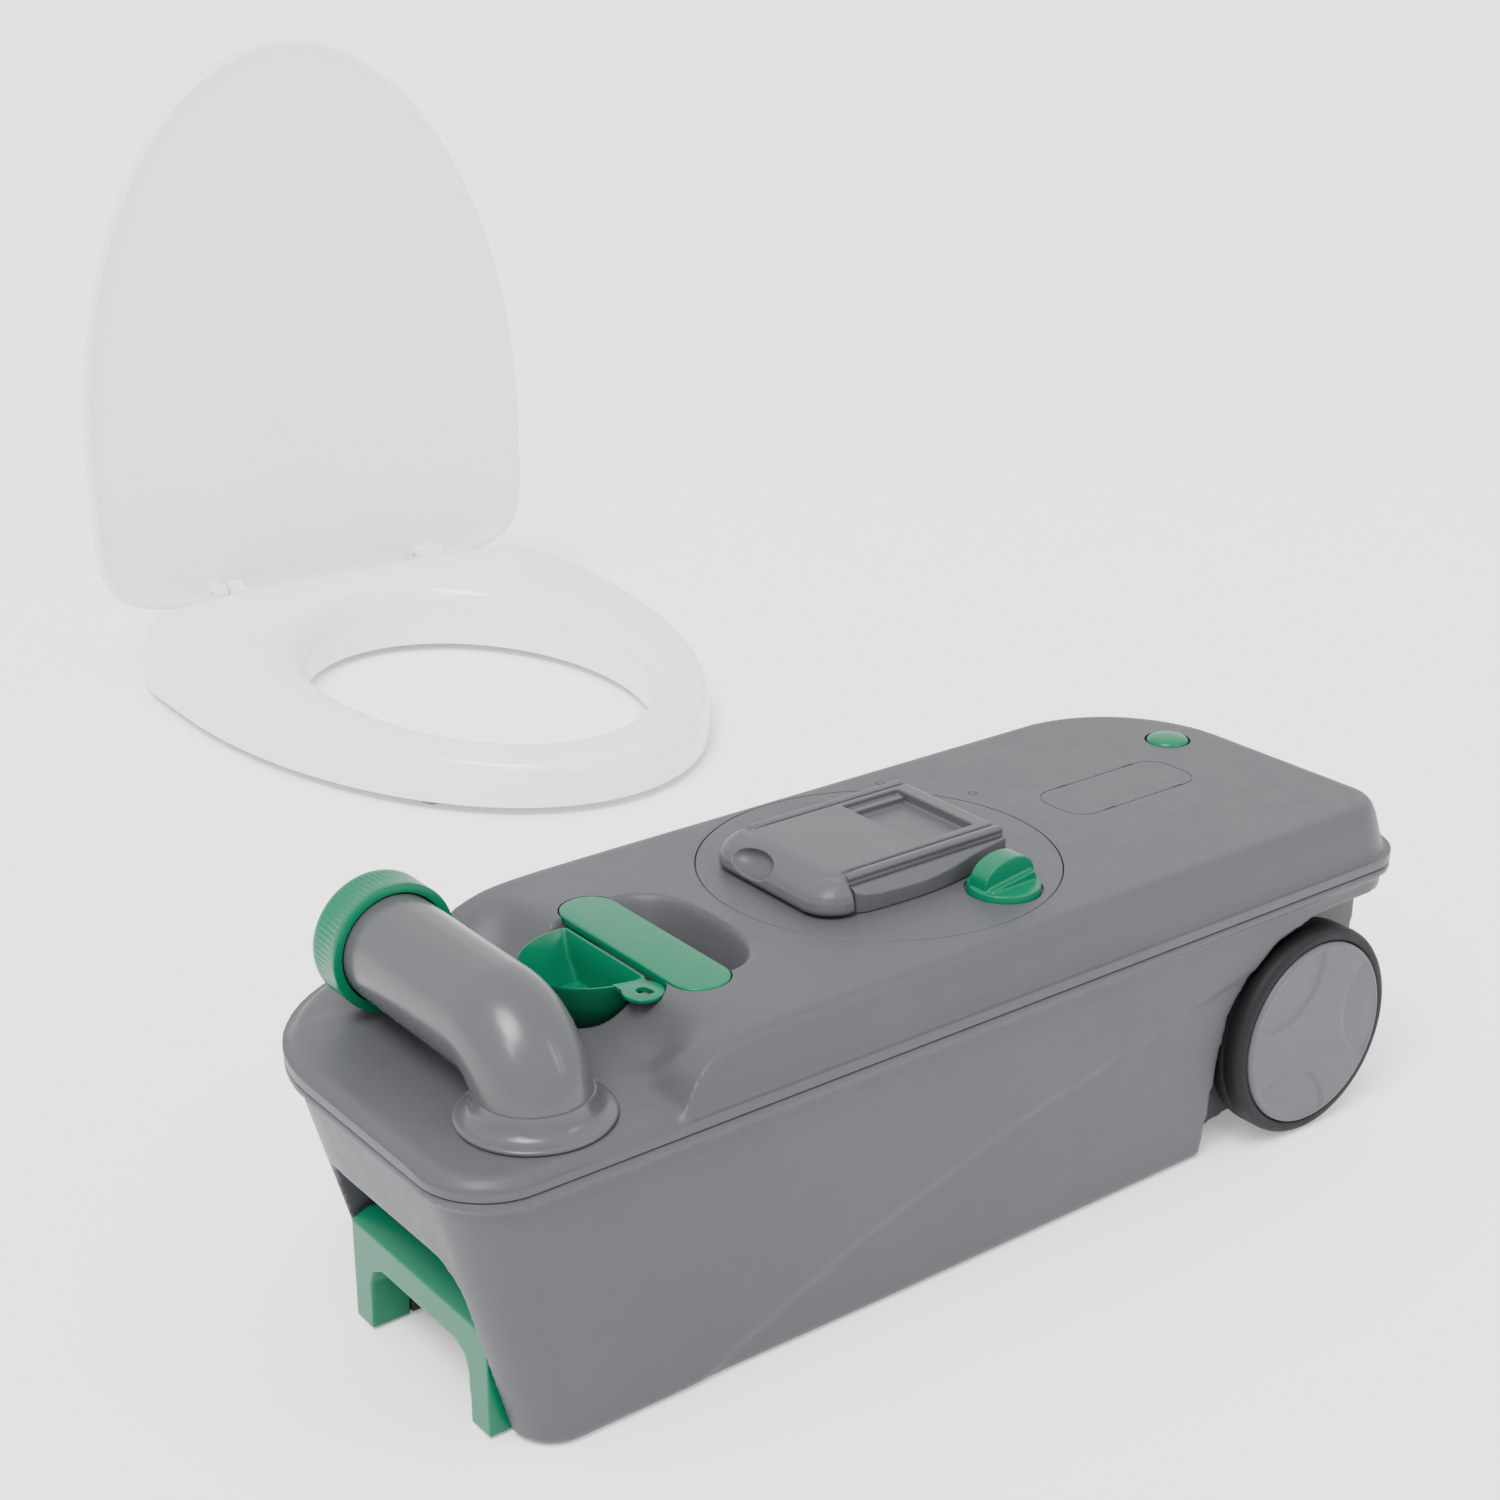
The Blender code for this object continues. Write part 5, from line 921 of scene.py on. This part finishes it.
def seat():
    """The seat ring, hollow below, with four buffer bosses and two hinge ears."""
    count = 200
    outer = seat_outline(count, SEAT_HALF_WIDTH, SEAT_HALF_LENGTH)
    inner = []
    for k in range(count):
        turn = 2 * math.pi * k / count
        inner.append((OPENING_HALF_WIDTH * math.sin(turn),
            OPENING_SHIFT + OPENING_HALF_LENGTH * math.cos(turn)))
    profile = [(0.0, 0.0), (0.0, 0.5), (0.004, 0.66), (0.02, 0.79), (0.05, 0.88), (0.1, 0.94), (0.18, 0.975),
        (0.3, 0.993), (0.45, 1.0), (0.6, 1.0), (0.72, 0.995),
               (0.81, 0.98), (0.88, 0.95), (0.93, 0.9), (0.965, 0.82), (0.985, 0.72), (0.996, 0.58),
               (1.0, 0.4), (1.0, 0.02), (0.995, 0.0), (0.955, 0.0), (0.95, 0.02),
               (0.945, 0.72), (0.9, 0.8), (0.1, 0.8), (0.06, 0.72), (0.055, 0.02), (0.05, 0.0)]
    sections = []
    for (ox, oy), (ix, iy) in zip(outer, inner):
        section = []
        for share, height in profile:
            x, y = ix + (ox - ix) * share, iy + (oy - iy) * share
            section.append(seat_point(x, y, SEAT_BOTTOM + (seat_top(y) - SEAT_BOTTOM) * height))
        sections.append(section)
    ring = loft("ring", sections, closed=True)
    extras = []
    for x, y in scaled(((-168, 90), (168, 90), (-119, -153), (119, -153))):
        extras.append(cylinder("boss", 11 * MM, seat_point(x, y, SEAT_BOTTOM + 1 * MM),
            seat_point(x, y, seat_top(y) - 4 * MM), 48))
    for x in (-HINGE_X, HINGE_X):
        extras.append(hinge_eye(x, 9 * MM, 7 * MM, (-6.5, -28, -7.7), (6.5, 1, 6.3)))
    piece("seat_ring_moulding", join(ring, *extras), LOOK["white"], "seat", "white_plastic", "seat_ring",
        sharp=60)


def lid():
    """The open lid: a thin shield with a rolled edge and two hinge lugs."""
    count, drop = 200, 14 * MM

    def level(inset, depth):
        points = []
        for x, y in seat_outline(count, LID_HALF_WIDTH - inset, LID_HALF_LENGTH - inset):
            v, offset = LID_HALF_LENGTH - y - drop, LID_STANDOFF + depth
            y_at = HINGE_Y + v * math.sin(LID_LEAN) + offset * math.cos(LID_LEAN)
            z_at = HINGE_Z + v * math.cos(LID_LEAN) - offset * math.sin(LID_LEAN)
            points.append(seat_point(x, y_at, z_at))
        return points

    front = [(150, 4.6), (110, 4.6), (70, 4.5), (40, 4.2), (22, 3.7), (14, 3.1), (10, 2.3), (7.5, 1.3),
        (5.6, 0.4), (4.2, 0.0), (2.8, 0.1), (1.4, 0.8), (0.4, 2.0), (0.0, 3.6)]
    back = [(0.2, 5.6), (1.0, 7.2), (3.0, 8.7), (7.0, 9.7), (14, 10.3), (26, 10.8), (45, 11.0), (90, 11.0),
        (150, 11.0)]
    body = loft("lid", [level(i * MM, d * MM) for i, d in front + back])
    extras = []
    for x in (-HINGE_X - 14.5 * MM, HINGE_X + 14.5 * MM):
        extras.append(hinge_eye(x, 7.5 * MM, 6.5 * MM, (-6.5, 0, -7), (6.5, 15, 7)))
    piece("seat_lid_moulding", join(body, *extras), LOOK["white"], "lid", "white_plastic", "seat_lid",
        sharp=50)


# ---- carried-over nodes, stage, light, camera
def repaint():
    """Gives each CAD node that still shows its material and a small edge bevel."""
    looks = {"grey_shell": "shell", "grey_cover": "cover", "dark_plastic": "dark", "green_plastic": "green",
        "white_plastic": "white", "hub_grey": "hub",
             "tyre_black": "tyre", "seal_rubber": "rubber", "steel": "steel", "pale_foam": "foam"}
    slots = {entry["node"]: entry["material_slot"] for entry in frame["record"]["subparts"]}
    for name, node in frame["nodes"].items():
        if node.hide_render:
            continue
        look = LOOK["buffer"] if name.startswith("seat_buffer") else LOOK[looks[slots[name]]]
        node.data.materials.clear()
        node.data.materials.append(look)
        edge = node.modifiers.new("Edge", "BEVEL")
        edge.width = 0.4 * MM
        edge.segments = 2
        edge.limit_method = "ANGLE"
        edge.angle_limit = math.radians(40)


def area_light(name, place, target, size, power):
    data = bpy.data.lights.new(name, "AREA")
    data.shape = "RECTANGLE"
    data.size, data.size_y = size
    data.energy = power
    light = add_object(name, data)
    light.location = place
    light.rotation_euler = (Vector(target) - Vector(place)).to_track_quat("-Z", "Y").to_euler()


def studio():
    """The pale floor, the soft light and the camera."""
    floor = box("floor", (-20, -20, -0.02), (40, 50, -0.0002))
    paper = plastic("floor_paper", (0.93, 0.93, 0.93), 0.9, 300.0, 0.02, 0.004)
    shader = paper.node_tree.nodes["Principled BSDF"]
    shader.inputs["Emission Color"].default_value = (1.0, 1.0, 1.0, 1.0)
    shader.inputs["Emission Strength"].default_value = FLOOR_GLOW
    floor.materials.append(paper)
    add_object("floor", floor)
    world = bpy.data.worlds.new("studio")
    bpy.context.scene.world = world
    world.use_nodes = True
    sky = world.node_tree.nodes["Background"]
    sky.inputs["Color"].default_value = (1.0, 1.0, 1.0, 1.0)
    sky.inputs["Strength"].default_value = WORLD_STRENGTH
    sun = bpy.data.lights.new("key", "SUN")
    sun.energy, sun.angle = SUN_STRENGTH, SUN_ANGLE
    key = add_object("key", sun)
    key.rotation_euler = Vector(SUN_DIRECTION).to_track_quat("-Z", "Y").to_euler()
    area_light("soft_box_left", (-1.15, -0.55, 1.35), (-0.27, -0.05, 0.2), (0.2, 0.7), SOFT_BOX_POWER)
    area_light("soft_box_right", (0.9, -1.6, 1.3), (0.0, 0.0, 0.15), (0.5, 0.9), SOFT_BOX_POWER)
    data = bpy.data.cameras.new("camera")
    data.lens, data.sensor_width = CAMERA_LENS, 36
    data.shift_x, data.shift_y = CAMERA_SHIFT
    camera = add_object("camera", data)
    camera.location = CAMERA_PLACE
    camera.rotation_euler = CAMERA_TURN
    bpy.context.scene.camera = camera


upper_shell()
lower_shell()
grip()
measuring_cup()
mechanism()
cover()
knob()
vent()
spout()
cap()
handle()
for wheel_side, wheel_word in ((-1, "near"), (1, "far")):
    wheel(wheel_side, wheel_word)
    hub_cap(wheel_side, wheel_word)
seat()
lid()
repaint()
studio()
bpy.context.view_layer.update()
